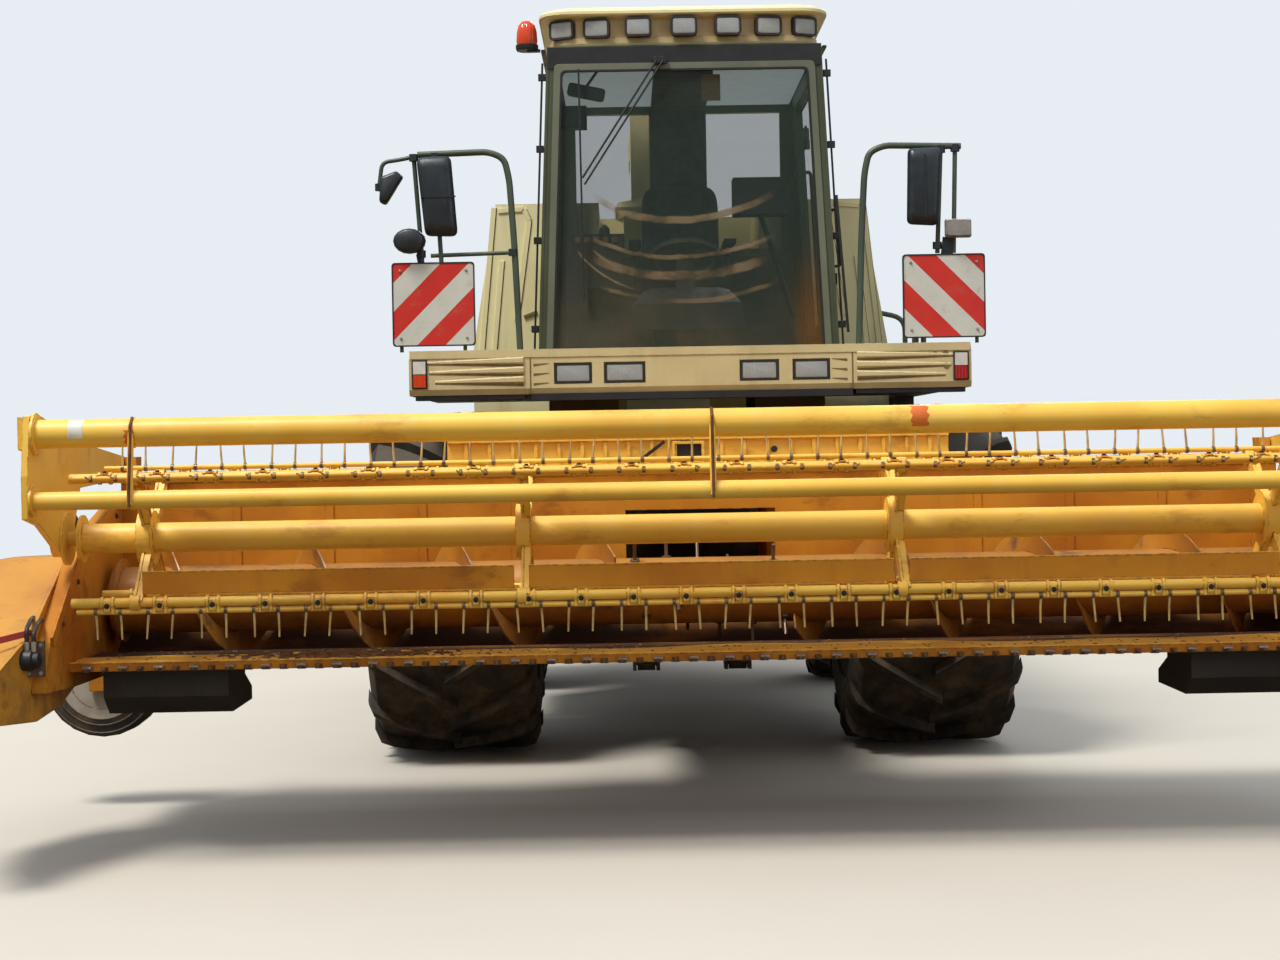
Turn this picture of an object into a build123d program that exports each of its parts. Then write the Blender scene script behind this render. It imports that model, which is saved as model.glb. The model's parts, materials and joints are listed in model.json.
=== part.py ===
from build123d import *
import math
import os

# Self-propelled forage harvester with a raised whole-crop header, in millimetres.
# +Z is up, the machine looks towards -Y, its left hand side is +X.
# The origin is on the ground below the middle of the whole machine.

os.makedirs("parts", exist_ok=True)

# Reach ahead of and behind the front axle, which places the axle
header_reach = 3900
rear_reach = 5350
front_axle_y = (header_reach - rear_reach) / 2

# Clearances
play = 0.05           # radial play of a shaft in its bore
seat_gap = 0.3        # between a turning part and the face that it stands on
panel_gap = 6         # round a door or lid

# Wheels: places are given from the front axle, widths are over the side walls
front_tyre_radius = 945
front_tyre_width = 900
front_rim_radius = 415
front_wheel_x = 1290
rear_tyre_radius = 730
rear_tyre_width = 540
rear_rim_radius = 385
rear_wheel_x = 1200
wheelbase = 3250
kingpin_x = 800
kingpin_radius = 35
spindle_radius = 60
rim_sheet = 25
hub_radius = 150
hub_length = 180
disc_sheet = 25

# Chassis
rail_inner_x = 380
rail_width = 100
rail_bottom_z = 1100
rail_top_z = 1350
rail_front = -250
rail_rear = 5150
axle_beam_height = 260
axle_beam_depth = 280
final_drive_radius = 230

# Chopper housing and feed housing
feed_half_width = 350
feed_wall = 50
chopper_front = -500
chopper_rear = 600
chopper_top_z = 1780
lift_pivot_y = -350
lift_pivot_z = 1050
lift_pin_radius = 40
feed_front = -1350
feed_rear = -620
feed_floor_z = 800
feed_roof_z = 1380

# Platform, bumper and cab
deck_bottom_z = 1960
deck_sheet = 40
deck_half_width = 1460
deck_rear = 780
bumper_front = -900
bumper_depth = 120
bumper_bottom_z = 1960
bumper_top_z = 2190
cab_floor_z = deck_bottom_z + deck_sheet
cab_top_z = 3780
cab_front = -750
cab_rear = 800
cab_bottom_half = 800
cab_top_half = 720
cab_wall = 50
pane = 8
pane_inset = 12
windscreen_post = 70
roof_height = 225
roof_half_width = 765
roof_front = -800
roof_rear = 860
door_front = -690
door_rear = 650
door_bottom_z = 2060
door_top_z = 3715
door_frame = 75

# Body behind the cab
body_half_width = 1250
body_kink_z = 2260
body_top_half = 1100
body_top_z = 3150
body_bottom_z = 1600
fairing_front = 860
body_front = 1760
body_rear = 5050
body_wall = 60
hatch_front = 2050
hatch_rear = 4750
hatch_bottom_z = 1700
hatch_top_z = 3020
hatch_sheet = 45

# Spout
spout_x = -80
tower_y = 1300
tower_half_width = 250
tower_top_z = 3150
turret_bore = 220
spout_sheet = 20
elbow_half_width = 200
elbow_top_z = 4150
boom_length = 3150
boom_root_height = 340
boom_tip_height = 230
boom_half_width = 180
boom_gap = 12
flap_length = 430

# Header: its widths follow the table's
table_half_width = 2700
table_sheet = 20
side_sheet = 60
divider_width = 390
side_outer = table_half_width + side_sheet
header_half_width = side_outer + divider_width
skid_width = 530
auger_y = -2250
auger_z = 1020
auger_radius = 250
auger_tube_radius = 150
auger_pitch = 650
trough_radius = 280
table_floor_z = 800
knife_y = -2900
back_wall_y = -1970
table_top_z = 1550
back_beam = 120
adapter_half_width = 1190
adapter_top_z = 1720
adapter_depth = 70

# Reel
reel_y = -2950
reel_z = 1329
reel_half_length = table_half_width - 60
reel_tube_radius = 62.5
bat_radius = 360
bat_tube_radius = 20
tine_length = 150
tine_size = 8
tine_pair_pitch = 215
tine_gap = 100
spider_sheet = 12
arm_inner_x = table_half_width + 6
arm_sheet = 25
arm_box = 60
reel_pivot_y = -1850
reel_pivot_z = 1620
reel_pin_radius = 25
top_tube_y = -3390
top_tube_z = 1767
top_tube_radius = 57.5
low_tube_y = -3455
low_tube_z = 1500
low_tube_radius = 36.5

# Transport wheel of the header
spare_wheel_x = -side_outer - 100
spare_wheel_y = -1710
spare_wheel_z = 620
spare_wheel_radius = 285
spare_wheel_width = 180
spare_axle_radius = 25


def aft(y):
    """Place along the machine of a distance behind the front axle."""
    return front_axle_y + y


def block(x, y, z, mode=Mode.ADD):
    """Box from its low and high limits; y is measured from the front axle."""
    centre = ((x[0] + x[1]) / 2, aft((y[0] + y[1]) / 2), (z[0] + z[1]) / 2)
    with Locations(centre):
        Box(abs(x[1] - x[0]), y[1] - y[0], z[1] - z[0], mode=mode)


def rod(start, end, radius, mode=Mode.ADD):
    """Round bar between two points (x, y from the front axle, z)."""
    a = Vector(start[0], aft(start[1]), start[2])
    b = Vector(end[0], aft(end[1]), end[2])
    with Locations(Plane(origin=(a + b) / 2, z_dir=b - a)):
        Cylinder(radius, (b - a).length, mode=mode)


def slab(outline, x, mode=Mode.ADD):
    """Side outline of (y, z) points, as thick as the limits in x."""
    low = min(x)
    with BuildSketch(Plane.YZ.offset(low)) as profile:
        with BuildLine():
            Polyline([(aft(y), z) for y, z in outline], close=True)
        make_face()
    extrude(profile.sketch, amount=max(x) - low, mode=mode)


def bulkhead(outline, y, mode=Mode.ADD):
    """Front outline of (x, z) points, as deep as the limits in y."""
    with BuildSketch(Plane.XZ.offset(-aft(y[1]))) as profile:
        with BuildLine():
            Polyline(outline, close=True)
        make_face()
    extrude(profile.sketch, amount=y[1] - y[0], mode=mode)


def turned(outline, centre, direction, mode=Mode.ADD):
    """Ring turned round an axis: (distance along it, radius) points."""
    origin = Vector(centre[0], aft(centre[1]), centre[2])
    across = Vector(direction).cross(Vector(0, 0, 1))
    with BuildSketch(Plane(origin=origin, x_dir=direction, z_dir=across)) as profile:
        with BuildLine():
            Polyline(outline, close=True)
        make_face()
    revolve(profile.sketch, axis=Axis(origin, direction), mode=mode)


def save(piece, name):
    piece.part.label = name
    export_step(piece.part, f"parts/{name}.step")


# Wheels
# name, side, wheel_x, wheel_y, tyre radius, tyre width, rim radius, disc offset
wheel_table = [
    ("front_left", 1, front_wheel_x, 0, front_tyre_radius, front_tyre_width, front_rim_radius, 60),
    ("front_right", -1, front_wheel_x, 0, front_tyre_radius, front_tyre_width, front_rim_radius, 60),
    ("rear_left", 1, rear_wheel_x, wheelbase, rear_tyre_radius, rear_tyre_width, rear_rim_radius, 60),
    ("rear_right", -1, rear_wheel_x, wheelbase, rear_tyre_radius, rear_tyre_width, rear_rim_radius, 60),
]
bead_share = 0.40       # half width of the rim seat, as a share of the tyre width
tyre_flats = 24         # the tyre is round in flat steps
lugs_per_row = 16
lug_slant = math.radians(36)
lug_inner_share = -0.03
lug_outer_share = 0.47
lug_shoulder_drop = 20
front_lug_height = 55
front_lug_width = 52
rear_lug_height = 42
rear_lug_width = 40


def tyre_ring(x, radius):
    """Outline of a tyre at one place of its width, about the x axis."""
    with BuildSketch(Plane(origin=(x, 0, 0), x_dir=(0, 1, 0), z_dir=(1, 0, 0))) as outline:
        RegularPolygon(radius, tyre_flats)
    return outline.sketch


def lug_corner(radius, place, lug_width):
    """Point of a lug's ridge whose far corner lies on a circle."""
    along_lug = place / math.cos(lug_slant)
    reach = abs(along_lug) * math.sin(lug_slant) + lug_width / 2 * math.cos(lug_slant)
    return along_lug, math.sqrt(radius ** 2 - reach ** 2), reach


def lugged_tyre(radius, width, rim_radius, lug_height, lug_width):
    """Tyre with two staggered rows of slanted lugs, centred on the origin."""
    carcass = radius - lug_height
    bulge = (carcass + rim_radius) / 2 + 20
    half = [(bead_share * width, rim_radius + 14), (width / 2, bulge), (0.44 * width, carcass)]
    sections = [(-x, r) for x, r in half] + [(x, r) for x, r in reversed(half)]
    near = lug_corner(radius, lug_inner_share * width, lug_width)
    far = lug_corner(radius - lug_shoulder_drop, lug_outer_share * width, lug_width)
    ridge = [near[:2], far[:2], (far[0], far[1] - 1.8 * lug_height), (near[0], carcass - lug_height)]
    lowest = -90 - math.degrees(math.atan2(near[1], -near[2]))
    with BuildPart() as tyre:
        loft([tyre_ring(x, r) for x, r in sections], ruled=True)
        flat_radius = (rim_radius + 0.2) / math.cos(math.pi / tyre_flats)
        extrude(tyre_ring(-width, flat_radius), amount=2 * width, mode=Mode.SUBTRACT)
        for row in (-1, 1):
            lug_plane = Plane(
                origin=(0, 0, 0),
                x_dir=(row * math.cos(lug_slant), math.sin(lug_slant), 0),
                z_dir=(math.sin(lug_slant), -row * math.cos(lug_slant), 0),
            )
            with BuildSketch(lug_plane) as profile:
                with BuildLine():
                    Polyline(ridge, close=True)
                make_face()
            lug = extrude(profile.sketch, amount=lug_width / 2, both=True, mode=Mode.PRIVATE)
            for number in range(lugs_per_row):
                turn = lowest + 360 / lugs_per_row * (number + (row + 1) / 4)
                add(lug.rotate(Axis.X, turn))
    return tyre.part


tyre_shapes = {
    "front": lugged_tyre(front_tyre_radius, front_tyre_width, front_rim_radius, front_lug_height,
                         front_lug_width),
    "rear": lugged_tyre(rear_tyre_radius, rear_tyre_width, rear_rim_radius, rear_lug_height,
                        rear_lug_width),
}

for name, side, wheel_x, wheel_y, tyre_radius, tyre_width, rim_radius, disc in wheel_table:
    centre = (side * wheel_x, wheel_y, tyre_radius)
    outward = (side, 0, 0)
    seat = bead_share * tyre_width
    with BuildPart() as tyre:
        add(tyre_shapes[name.split("_")[0]].moved(Location((side * wheel_x, aft(wheel_y), tyre_radius))))
    save(tyre, f"tyre_{name}")

    with BuildPart() as rim:
        turned(
            [
                (-seat, rim_radius - rim_sheet),
                (seat, rim_radius - rim_sheet),
                (seat, rim_radius),
                (-seat, rim_radius),
            ],
            centre,
            outward,
        )
        bore = spindle_radius + play
        turned(
            [
                (disc - hub_length / 2, bore),
                (disc + hub_length / 2, bore),
                (disc + hub_length / 2, hub_radius),
                (disc + disc_sheet, hub_radius + 40),
                (disc + disc_sheet, rim_radius - rim_sheet),
                (disc, rim_radius - rim_sheet),
                (disc, hub_radius),
                (disc - hub_length / 2, hub_radius),
            ],
            centre,
            outward,
        )
    save(rim, f"rim_{name}")

hub_inner = 60 - hub_length / 2
hub_outer = 60 + hub_length / 2
hub_gap = 10

# Header lift cylinders: foot pins on the front axle, rod eyes under the feed housing
lift_foot = (-300, 500)
lift_eye = (-1200, 640)
lift_x = 250
lift_barrel_radius = 45
lift_rod_radius = 28
lift_barrel_length = 600
eye_radius = 48
eye_width = 96
cheek_sheet = 20
cheek_gap = 6
foot_pin_radius = 22

# Front axle
with BuildPart() as front_axle:
    beam_z = front_tyre_radius
    block((-500, 500), (-axle_beam_depth / 2, axle_beam_depth / 2),
          (beam_z - axle_beam_height / 2, beam_z + axle_beam_height / 2))
    pad_bottom_z = beam_z + axle_beam_height / 2
    for side in (-1, 1):
        drive_end = front_wheel_x + hub_inner - hub_gap
        rod((side * 480, 0, beam_z), (side * drive_end, 0, beam_z), final_drive_radius)
        rod((side * (drive_end - 10), 0, beam_z), (side * (front_wheel_x + hub_outer), 0, beam_z),
            spindle_radius)
        # Pads under the rails
        block((side * rail_inner_x, side * (rail_inner_x + rail_width)), (-110, 110),
              (pad_bottom_z - 10, rail_bottom_z))
        # Cheeks that carry the foot pins of the lift cylinders
        for cheek in (-1, 1):
            inner = side * lift_x + cheek * (eye_width / 2 + cheek_gap)
            outer = inner + cheek * cheek_sheet
            slab([(-100, beam_z - 100), (lift_foot[0] - 55, lift_foot[1] + 60),
                  (lift_foot[0] - 55, lift_foot[1] - 45), (lift_foot[0] + 45, lift_foot[1] - 45),
                  (100, beam_z - 100)], (inner, outer))
        reach = eye_width / 2 + cheek_gap + cheek_sheet
        rod((side * lift_x - reach, *lift_foot), (side * lift_x + reach, *lift_foot), foot_pin_radius)
save(front_axle, "front_axle")

# Rear axle with its steering cylinder, which is fixed behind the beam
rear_beam_height = 160
rear_beam_depth = 180
steer_y = wheelbase + 230
steer_barrel_radius = 50
steer_rod_radius = 25
steer_rod_half = 640
rear_axle_z = rear_tyre_radius
with BuildPart() as rear_axle:
    half = rear_beam_height / 2
    block((-kingpin_x, kingpin_x), (wheelbase - rear_beam_depth / 2, wheelbase + rear_beam_depth / 2),
          (rear_axle_z - half, rear_axle_z + half))
    for side in (-1, 1):
        x = side * kingpin_x
        rod((x, wheelbase, rear_axle_z - half), (x, wheelbase, rear_axle_z + half), rear_beam_depth / 2)
        rod((x, wheelbase, rear_axle_z - half - 60), (x, wheelbase, rear_axle_z + half + 60),
            kingpin_radius)
        # Lugs that hold the steering cylinder
        slab([(wheelbase, rear_axle_z - 50), (steer_y + 40, rear_axle_z - 60),
              (steer_y + 40, rear_axle_z + 60), (wheelbase, rear_axle_z + 50)],
             (side * 300, side * 330))
    # Hanger that carries the axle's pivot below the frame
    block((-200, 200), (wheelbase - 150, wheelbase + 150), (rear_axle_z + half - 5, rail_bottom_z))
    block((-rail_inner_x - rail_width, rail_inner_x + rail_width),
          (wheelbase - 150, wheelbase + 150), (rail_bottom_z - 60, rail_bottom_z))
    rod((-360, steer_y, rear_axle_z), (360, steer_y, rear_axle_z), steer_barrel_radius)
    rod((-400, steer_y, rear_axle_z), (400, steer_y, rear_axle_z), steer_rod_radius + play,
        mode=Mode.SUBTRACT)
save(rear_axle, "rear_axle")

with BuildPart() as steering_rod:
    rod((-steer_rod_half, steer_y, rear_axle_z), (steer_rod_half, steer_y, rear_axle_z), steer_rod_radius)
    for side in (-1, 1):
        x = side * steer_rod_half
        rod((x, steer_y, rear_axle_z - 24), (x, steer_y, rear_axle_z + 24), 42)
save(steering_rod, "steering_rod")

# Knuckles: a fork round the end of the rear beam, with the spindle outside it
fork_sheet = 45
fork_gap = 8
fork_plate_x = kingpin_x + 100
for name, side in (("left", 1), ("right", -1)):
    with BuildPart() as knuckle:
        for level in (-1, 1):
            near = rear_axle_z + level * (rear_beam_height / 2 + fork_gap)
            far = near + level * fork_sheet
            low, high = min(near, far), max(near, far)
            block((side * kingpin_x, side * (fork_plate_x + 20)),
                  (wheelbase - 80, wheelbase + 80), (low, high))
            rod((side * kingpin_x, wheelbase, low), (side * kingpin_x, wheelbase, high), 80)
            rod((side * kingpin_x, wheelbase, low - 1), (side * kingpin_x, wheelbase, high + 1),
                kingpin_radius + play, mode=Mode.SUBTRACT)
        fork_reach = rear_beam_height / 2 + fork_gap + fork_sheet
        block((side * fork_plate_x, side * (fork_plate_x + 50)), (wheelbase - 80, wheelbase + 80),
              (rear_axle_z - fork_reach, rear_axle_z + fork_reach))
        shoulder_x = rear_wheel_x + hub_inner - hub_gap
        rod((side * fork_plate_x, wheelbase, rear_axle_z), (side * shoulder_x, wheelbase, rear_axle_z), 85)
        rod((side * (shoulder_x - 10), wheelbase, rear_axle_z),
            (side * (rear_wheel_x + hub_outer), wheelbase, rear_axle_z), spindle_radius)
        # Steering arm, above the eye of the steering rod
        arm_low = rear_axle_z + rear_beam_height / 2 + fork_gap
        block((side * (kingpin_x - 120), side * (kingpin_x + 20)), (wheelbase + 60, steer_y + 40),
              (arm_low, arm_low + 35))
    save(knuckle, f"knuckle_{name}")

# Chassis frame: two rails with crossmembers, and posts up to the platform
crossmember_places = (1700, 2350, 3250, 4900)
post_places = (-230, 620)
with BuildPart() as chassis_frame:
    for side in (-1, 1):
        rail = (side * rail_inner_x, side * (rail_inner_x + rail_width))
        block(rail, (rail_front, rail_rear), (rail_bottom_z, rail_top_z))
        for place in post_places:
            block(rail, (place, place + 120), (rail_top_z - 10, deck_bottom_z))
            slab([(place, deck_bottom_z - 160), (place + 120, deck_bottom_z - 160),
                  (place + 120, deck_bottom_z), (place, deck_bottom_z)],
                 (side * rail_inner_x, side * 760))
    for place in crossmember_places:
        block((-rail_inner_x - 5, rail_inner_x + 5), (place - 60, place + 60),
              (rail_bottom_z, rail_top_z - 40))
    block((-rail_inner_x - rail_width, rail_inner_x + rail_width), (rail_rear - 80, rail_rear),
          (rail_bottom_z - 150, rail_top_z))
save(chassis_frame, "chassis_frame")

# Chopper housing between the rails, with the pins on which the feed housing tilts
with BuildPart() as chopper_housing:
    slab([(chopper_front, 940), (-190, 940), (-190, rail_bottom_z), (chopper_rear, rail_bottom_z),
          (chopper_rear, 1700), (300, chopper_top_z), (-300, chopper_top_z), (chopper_front, 1600)],
         (-rail_inner_x, rail_inner_x))
    rod((-rail_inner_x - 55, lift_pivot_y, lift_pivot_z), (rail_inner_x + 55, lift_pivot_y, lift_pivot_z),
        lift_pin_radius)
save(chopper_housing, "chopper_housing")

# Feed housing: an open channel that tilts on the chopper housing
ear_inner = rail_inner_x + panel_gap
ear_outer = ear_inner + 40
with BuildPart() as feed_housing:
    outer_x = feed_half_width + feed_wall
    block((-outer_x, outer_x), (feed_front, feed_rear), (feed_floor_z - 60, feed_roof_z + 60))
    block((-feed_half_width, feed_half_width), (feed_front - 5, feed_rear + 5),
          (feed_floor_z, feed_roof_z), mode=Mode.SUBTRACT)
    for side in (-1, 1):
        slab([(feed_rear - 60, lift_pivot_z - 110), (lift_pivot_y, lift_pivot_z - 75),
              (lift_pivot_y, lift_pivot_z + 75), (feed_rear - 60, lift_pivot_z + 160)],
             (side * ear_inner, side * ear_outer))
        rod((side * ear_inner, lift_pivot_y, lift_pivot_z), (side * ear_outer, lift_pivot_y, lift_pivot_z),
            75)
        rod((side * (ear_inner - 1), lift_pivot_y, lift_pivot_z),
            (side * (ear_outer + 1), lift_pivot_y, lift_pivot_z), lift_pin_radius + play,
            mode=Mode.SUBTRACT)
        # Cheeks beside the eyes of the lift cylinders
        for cheek in (-1, 1):
            inner = side * lift_x + cheek * (eye_width / 2 + cheek_gap)
            outer = inner + cheek * cheek_sheet
            slab([(lift_eye[0] - 70, feed_floor_z - 50), (lift_eye[0] - 40, lift_eye[1] - 40),
                  (lift_eye[0] + 40, lift_eye[1] - 40), (lift_eye[0] + 110, feed_floor_z - 50)],
                 (inner, outer))
save(feed_housing, "feed_housing")

# Adapter frame between the feed housing and the header
adapter_front = back_wall_y + table_sheet + back_beam
with BuildPart() as adapter_frame:
    rear = adapter_front + adapter_depth
    block((-adapter_half_width, adapter_half_width), (adapter_front, rear), (1560, adapter_top_z))
    for x_low, x_high in ((-adapter_half_width, -1090), (1090, adapter_half_width)):
        block((x_low, x_high), (adapter_front, rear), (760, 1565))
    block((-adapter_half_width, adapter_half_width), (adapter_front, rear), (740, 800))
    wide = feed_half_width + feed_wall
    block((-wide, wide), (adapter_front, feed_front), (feed_floor_z - 60, feed_roof_z + 60))
    block((-wide + 60, wide - 60), (adapter_front, rear), (feed_roof_z + 50, 1565))
    block((-feed_half_width, feed_half_width), (adapter_front - 5, feed_front + 5),
          (feed_floor_z, feed_roof_z), mode=Mode.SUBTRACT)
save(adapter_frame, "adapter_frame")

# Lift cylinders: both barrels turn on one line, and both rods slide together
lift_length = math.hypot(lift_eye[0] - lift_foot[0], lift_eye[1] - lift_foot[1])
lift_slope = ((lift_eye[0] - lift_foot[0]) / lift_length, (lift_eye[1] - lift_foot[1]) / lift_length)


def along(foot, slope, distance, x):
    """Point on a cylinder's centre line, at a distance from its foot pin."""
    return (x, foot[0] + slope[0] * distance, foot[1] + slope[1] * distance)


with BuildPart() as lift_barrels:
    for side in (-1, 1):
        x = side * lift_x
        rod(along(lift_foot, lift_slope, 30, x), along(lift_foot, lift_slope, lift_barrel_length, x),
            lift_barrel_radius)
        rod((x - eye_width / 2, *lift_foot), (x + eye_width / 2, *lift_foot), eye_radius)
        rod(along(lift_foot, lift_slope, 80, x), along(lift_foot, lift_slope, lift_barrel_length + 1, x),
            lift_rod_radius + play, mode=Mode.SUBTRACT)
        rod((x - eye_width, *lift_foot), (x + eye_width, *lift_foot), foot_pin_radius + play,
            mode=Mode.SUBTRACT)
save(lift_barrels, "lift_barrels")

with BuildPart() as lift_rods:
    for side in (-1, 1):
        x = side * lift_x
        rod(along(lift_foot, lift_slope, 300, x), along(lift_foot, lift_slope, lift_length - 10, x),
            lift_rod_radius)
        rod((x - eye_width / 2, *lift_eye), (x + eye_width / 2, *lift_eye), eye_radius - 8)
save(lift_rods, "lift_rods")

# Engine, one block on the rails
with BuildPart() as engine_block:
    block((-420, 420), (2900, 4600), (rail_top_z, 2400))
save(engine_block, "engine_block")

# Tanks on both sides of the frame, between the wheels
with BuildPart() as side_tanks:
    for side in (-1, 1):
        slab([(1080, 780), (1160, 700), (2080, 700), (2150, 780), (2150, 1540), (1080, 1540)],
             (side * (rail_inner_x + rail_width), side * 1180))
save(side_tanks, "side_tanks")

# Rear hitch
hitch_bore = 16
with BuildPart() as hitch:
    block((-300, 300), (rail_rear, rail_rear + 60), (980, 1300))
    block((-60, 60), (rail_rear + 50, rear_reach), (1080, 1120))
    block((-60, 60), (rail_rear + 50, rear_reach), (1180, 1220))
    rod((0, rear_reach - 60, 1070), (0, rear_reach - 60, 1230), hitch_bore, mode=Mode.SUBTRACT)
save(hitch, "hitch")

# Platform deck over the front wheels, with the landing of the ladder
ladder_front = 1000
ladder_rear = 1450
with BuildPart() as platform:
    block((-deck_half_width, deck_half_width), (bumper_front + bumper_depth, deck_rear),
          (deck_bottom_z, cab_floor_z))
    block((body_half_width, deck_half_width), (deck_rear - 5, ladder_rear), (deck_bottom_z, cab_floor_z))
save(platform, "platform")

# Ladder, hung under the landing
with BuildPart() as ladder:
    for y in (ladder_front, ladder_rear - 30):
        slab([(y, 450), (y + 30, 450), (y + 30, deck_bottom_z), (y, deck_bottom_z)], (1300, 1420))
    for step in range(5):
        z = 480 + step * 300
        block((1300, 1420), (ladder_front + 20, ladder_rear - 20), (z, z + 30))
save(ladder, "ladder")

# Bumper with pockets for the lamps
# name, x low, x high, z low, z high
bumper_lamps = [
    ("outer_right", -708, -511, 2010, 2120),
    ("inner_right", -449, -234, 2010, 2120),
    ("inner_left", 255, 460, 2010, 2120),
    ("outer_left", 530, 725, 2010, 2120),
    ("end_right", -1445, -1365, 1995, 2145),
    ("end_left", 1365, 1445, 1995, 2145),
]
lamp_depth = 30
with BuildPart() as front_bumper:
    rear = bumper_front + bumper_depth
    slab([(bumper_front + 15, bumper_bottom_z), (rear, bumper_bottom_z), (rear, bumper_top_z),
          (bumper_front + 30, bumper_top_z), (bumper_front, bumper_top_z - 40),
          (bumper_front, bumper_bottom_z + 30)], (-deck_half_width, deck_half_width))
    for lamp, x_low, x_high, z_low, z_high in bumper_lamps:
        block((x_low, x_high), (bumper_front - 5, bumper_front + lamp_depth), (z_low, z_high),
              mode=Mode.SUBTRACT)
save(front_bumper, "front_bumper")


# Cab
def cab_half(z):
    """Half width of the cab at a height."""
    share = (z - cab_floor_z) / (cab_top_z - cab_floor_z)
    return cab_bottom_half + share * (cab_top_half - cab_bottom_half)


def cab_outline(inset, low, high):
    """Front outline of the cab between two heights, drawn in at the sides."""
    return [(-cab_half(low) + inset, low), (cab_half(low) - inset, low),
            (cab_half(high) - inset, high), (-cab_half(high) + inset, high)]


def cab_side(side, near, far, low, high):
    """Strip of the side wall, from near to far inside its outer face."""
    return [(side * (cab_half(low) - near), low), (side * (cab_half(high) - near), high),
            (side * (cab_half(high) - far), high), (side * (cab_half(low) - far), low)]


screen_bottom_z = 2110
screen_top_z = 3700
rear_window_low = 2850
rear_window_high = 3660
rear_window_inner = 170
rear_window_outer = 610
side_window = (-640, 700)
door_hinge_out = 26
door_hinge_heights = (2300, 3480)
door_knuckle = 18
door_pin = 8
with BuildPart() as cab_shell:
    bulkhead(cab_outline(0, cab_floor_z, cab_top_z), (cab_front, cab_rear))
    bulkhead(cab_outline(cab_wall, cab_floor_z + cab_wall, cab_top_z - cab_wall),
             (cab_front + cab_wall, cab_rear - cab_wall), mode=Mode.SUBTRACT)
    bulkhead(cab_outline(windscreen_post, screen_bottom_z, screen_top_z),
             (cab_front - 5, cab_front + cab_wall + 5), mode=Mode.SUBTRACT)
    for side in (-1, 1):
        block((side * rear_window_inner, side * rear_window_outer),
              (cab_rear - cab_wall - 5, cab_rear + 5), (rear_window_low, rear_window_high),
              mode=Mode.SUBTRACT)
    bulkhead(cab_side(-1, -20, cab_wall + 20, screen_bottom_z, screen_top_z), side_window,
             mode=Mode.SUBTRACT)
    bulkhead(cab_side(1, -20, cab_wall + 20, door_bottom_z - panel_gap, door_top_z + panel_gap),
             (door_front - panel_gap, door_rear + panel_gap), mode=Mode.SUBTRACT)
    # Leaves and pins of the door hinges
    for z in door_hinge_heights:
        axis_x = cab_half(z) + door_hinge_out
        lean = (cab_top_half - cab_bottom_half) / (cab_top_z - cab_floor_z)
        rod((axis_x - lean * 20, door_rear, z - 20), (axis_x + lean * 80, door_rear, z + 80), door_pin)
        rod((axis_x - lean * 60, door_rear, z - 60), (axis_x, door_rear, z), door_knuckle)
        block((cab_half(z) - 20, axis_x), (door_rear, door_rear + 60), (z - 58, z - 4))
save(cab_shell, "cab_shell")

with BuildPart() as cab_glass:
    bulkhead(cab_outline(windscreen_post, screen_bottom_z, screen_top_z),
             (cab_front + pane_inset, cab_front + pane_inset + pane))
    bulkhead(cab_side(-1, pane_inset, pane_inset + pane, screen_bottom_z, screen_top_z), side_window)
    for side in (-1, 1):
        block((side * rear_window_inner, side * rear_window_outer),
              (cab_rear - pane_inset - pane, cab_rear - pane_inset), (rear_window_low, rear_window_high))
save(cab_glass, "cab_glass")

door_sheet = 45
door_glass_z = (2300, 3640)
with BuildPart() as cab_door:
    bulkhead(cab_side(1, 0, door_sheet, door_bottom_z, door_top_z), (door_front, door_rear))
    bulkhead(cab_side(1, -10, door_sheet + 10, *door_glass_z),
             (door_front + door_frame, door_rear - door_frame), mode=Mode.SUBTRACT)
    lean = (cab_top_half - cab_bottom_half) / (cab_top_z - cab_floor_z)
    for z in door_hinge_heights:
        axis_x = cab_half(z) + door_hinge_out
        rod((axis_x + lean * 4, door_rear, z + 4), (axis_x + lean * 64, door_rear, z + 64), door_knuckle)
        block((cab_half(z) - 20, axis_x), (door_rear - 60, door_rear), (z + 6, z + 60))
        rod((axis_x, door_rear, z), (axis_x + lean * 90, door_rear, z + 90), door_pin + play,
            mode=Mode.SUBTRACT)
save(cab_door, "cab_door")

with BuildPart() as door_glass:
    bulkhead(cab_side(1, pane_inset, pane_inset + pane, *door_glass_z),
             (door_front + door_frame, door_rear - door_frame))
save(door_glass, "door_glass")

roof_lamp_z = (3830, 3925)
# x of the middle of each roof lamp
roof_lamp_places = (-643, -460, -240, 0, 232, 447, 640)
roof_lamp_half = 68
with BuildPart() as cab_roof:
    block((-roof_half_width, roof_half_width), (roof_front, roof_rear),
          (cab_top_z, cab_top_z + roof_height))
    fillet(cab_roof.edges().filter_by(Axis.Z), 130)
    fillet(cab_roof.faces().sort_by(Axis.Z)[-1].edges(), 60)
    block((-720, 720), (roof_front - 5, roof_front + 60), (roof_lamp_z[0] - 20, roof_lamp_z[1] + 20),
          mode=Mode.SUBTRACT)
save(cab_roof, "cab_roof")

# Lamps in the roof and in the bumper, and the beacon beside the roof
beacon_x = -830
beacon_y = -600
tail_lamp_x = (880, 1060)
tail_lamp_z = (1720, 1800)
with BuildPart() as lamps:
    for x in roof_lamp_places:
        block((x - roof_lamp_half, x + roof_lamp_half), (roof_front + 5, roof_front + 60), roof_lamp_z)
    for lamp, x_low, x_high, z_low, z_high in bumper_lamps:
        block((x_low, x_high), (bumper_front - 4, bumper_front + lamp_depth), (z_low, z_high))
    for side in (-1, 1):
        block((side * tail_lamp_x[0], side * tail_lamp_x[1]), (body_rear, body_rear + 32), tail_lamp_z)
save(lamps, "lamps")

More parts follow.
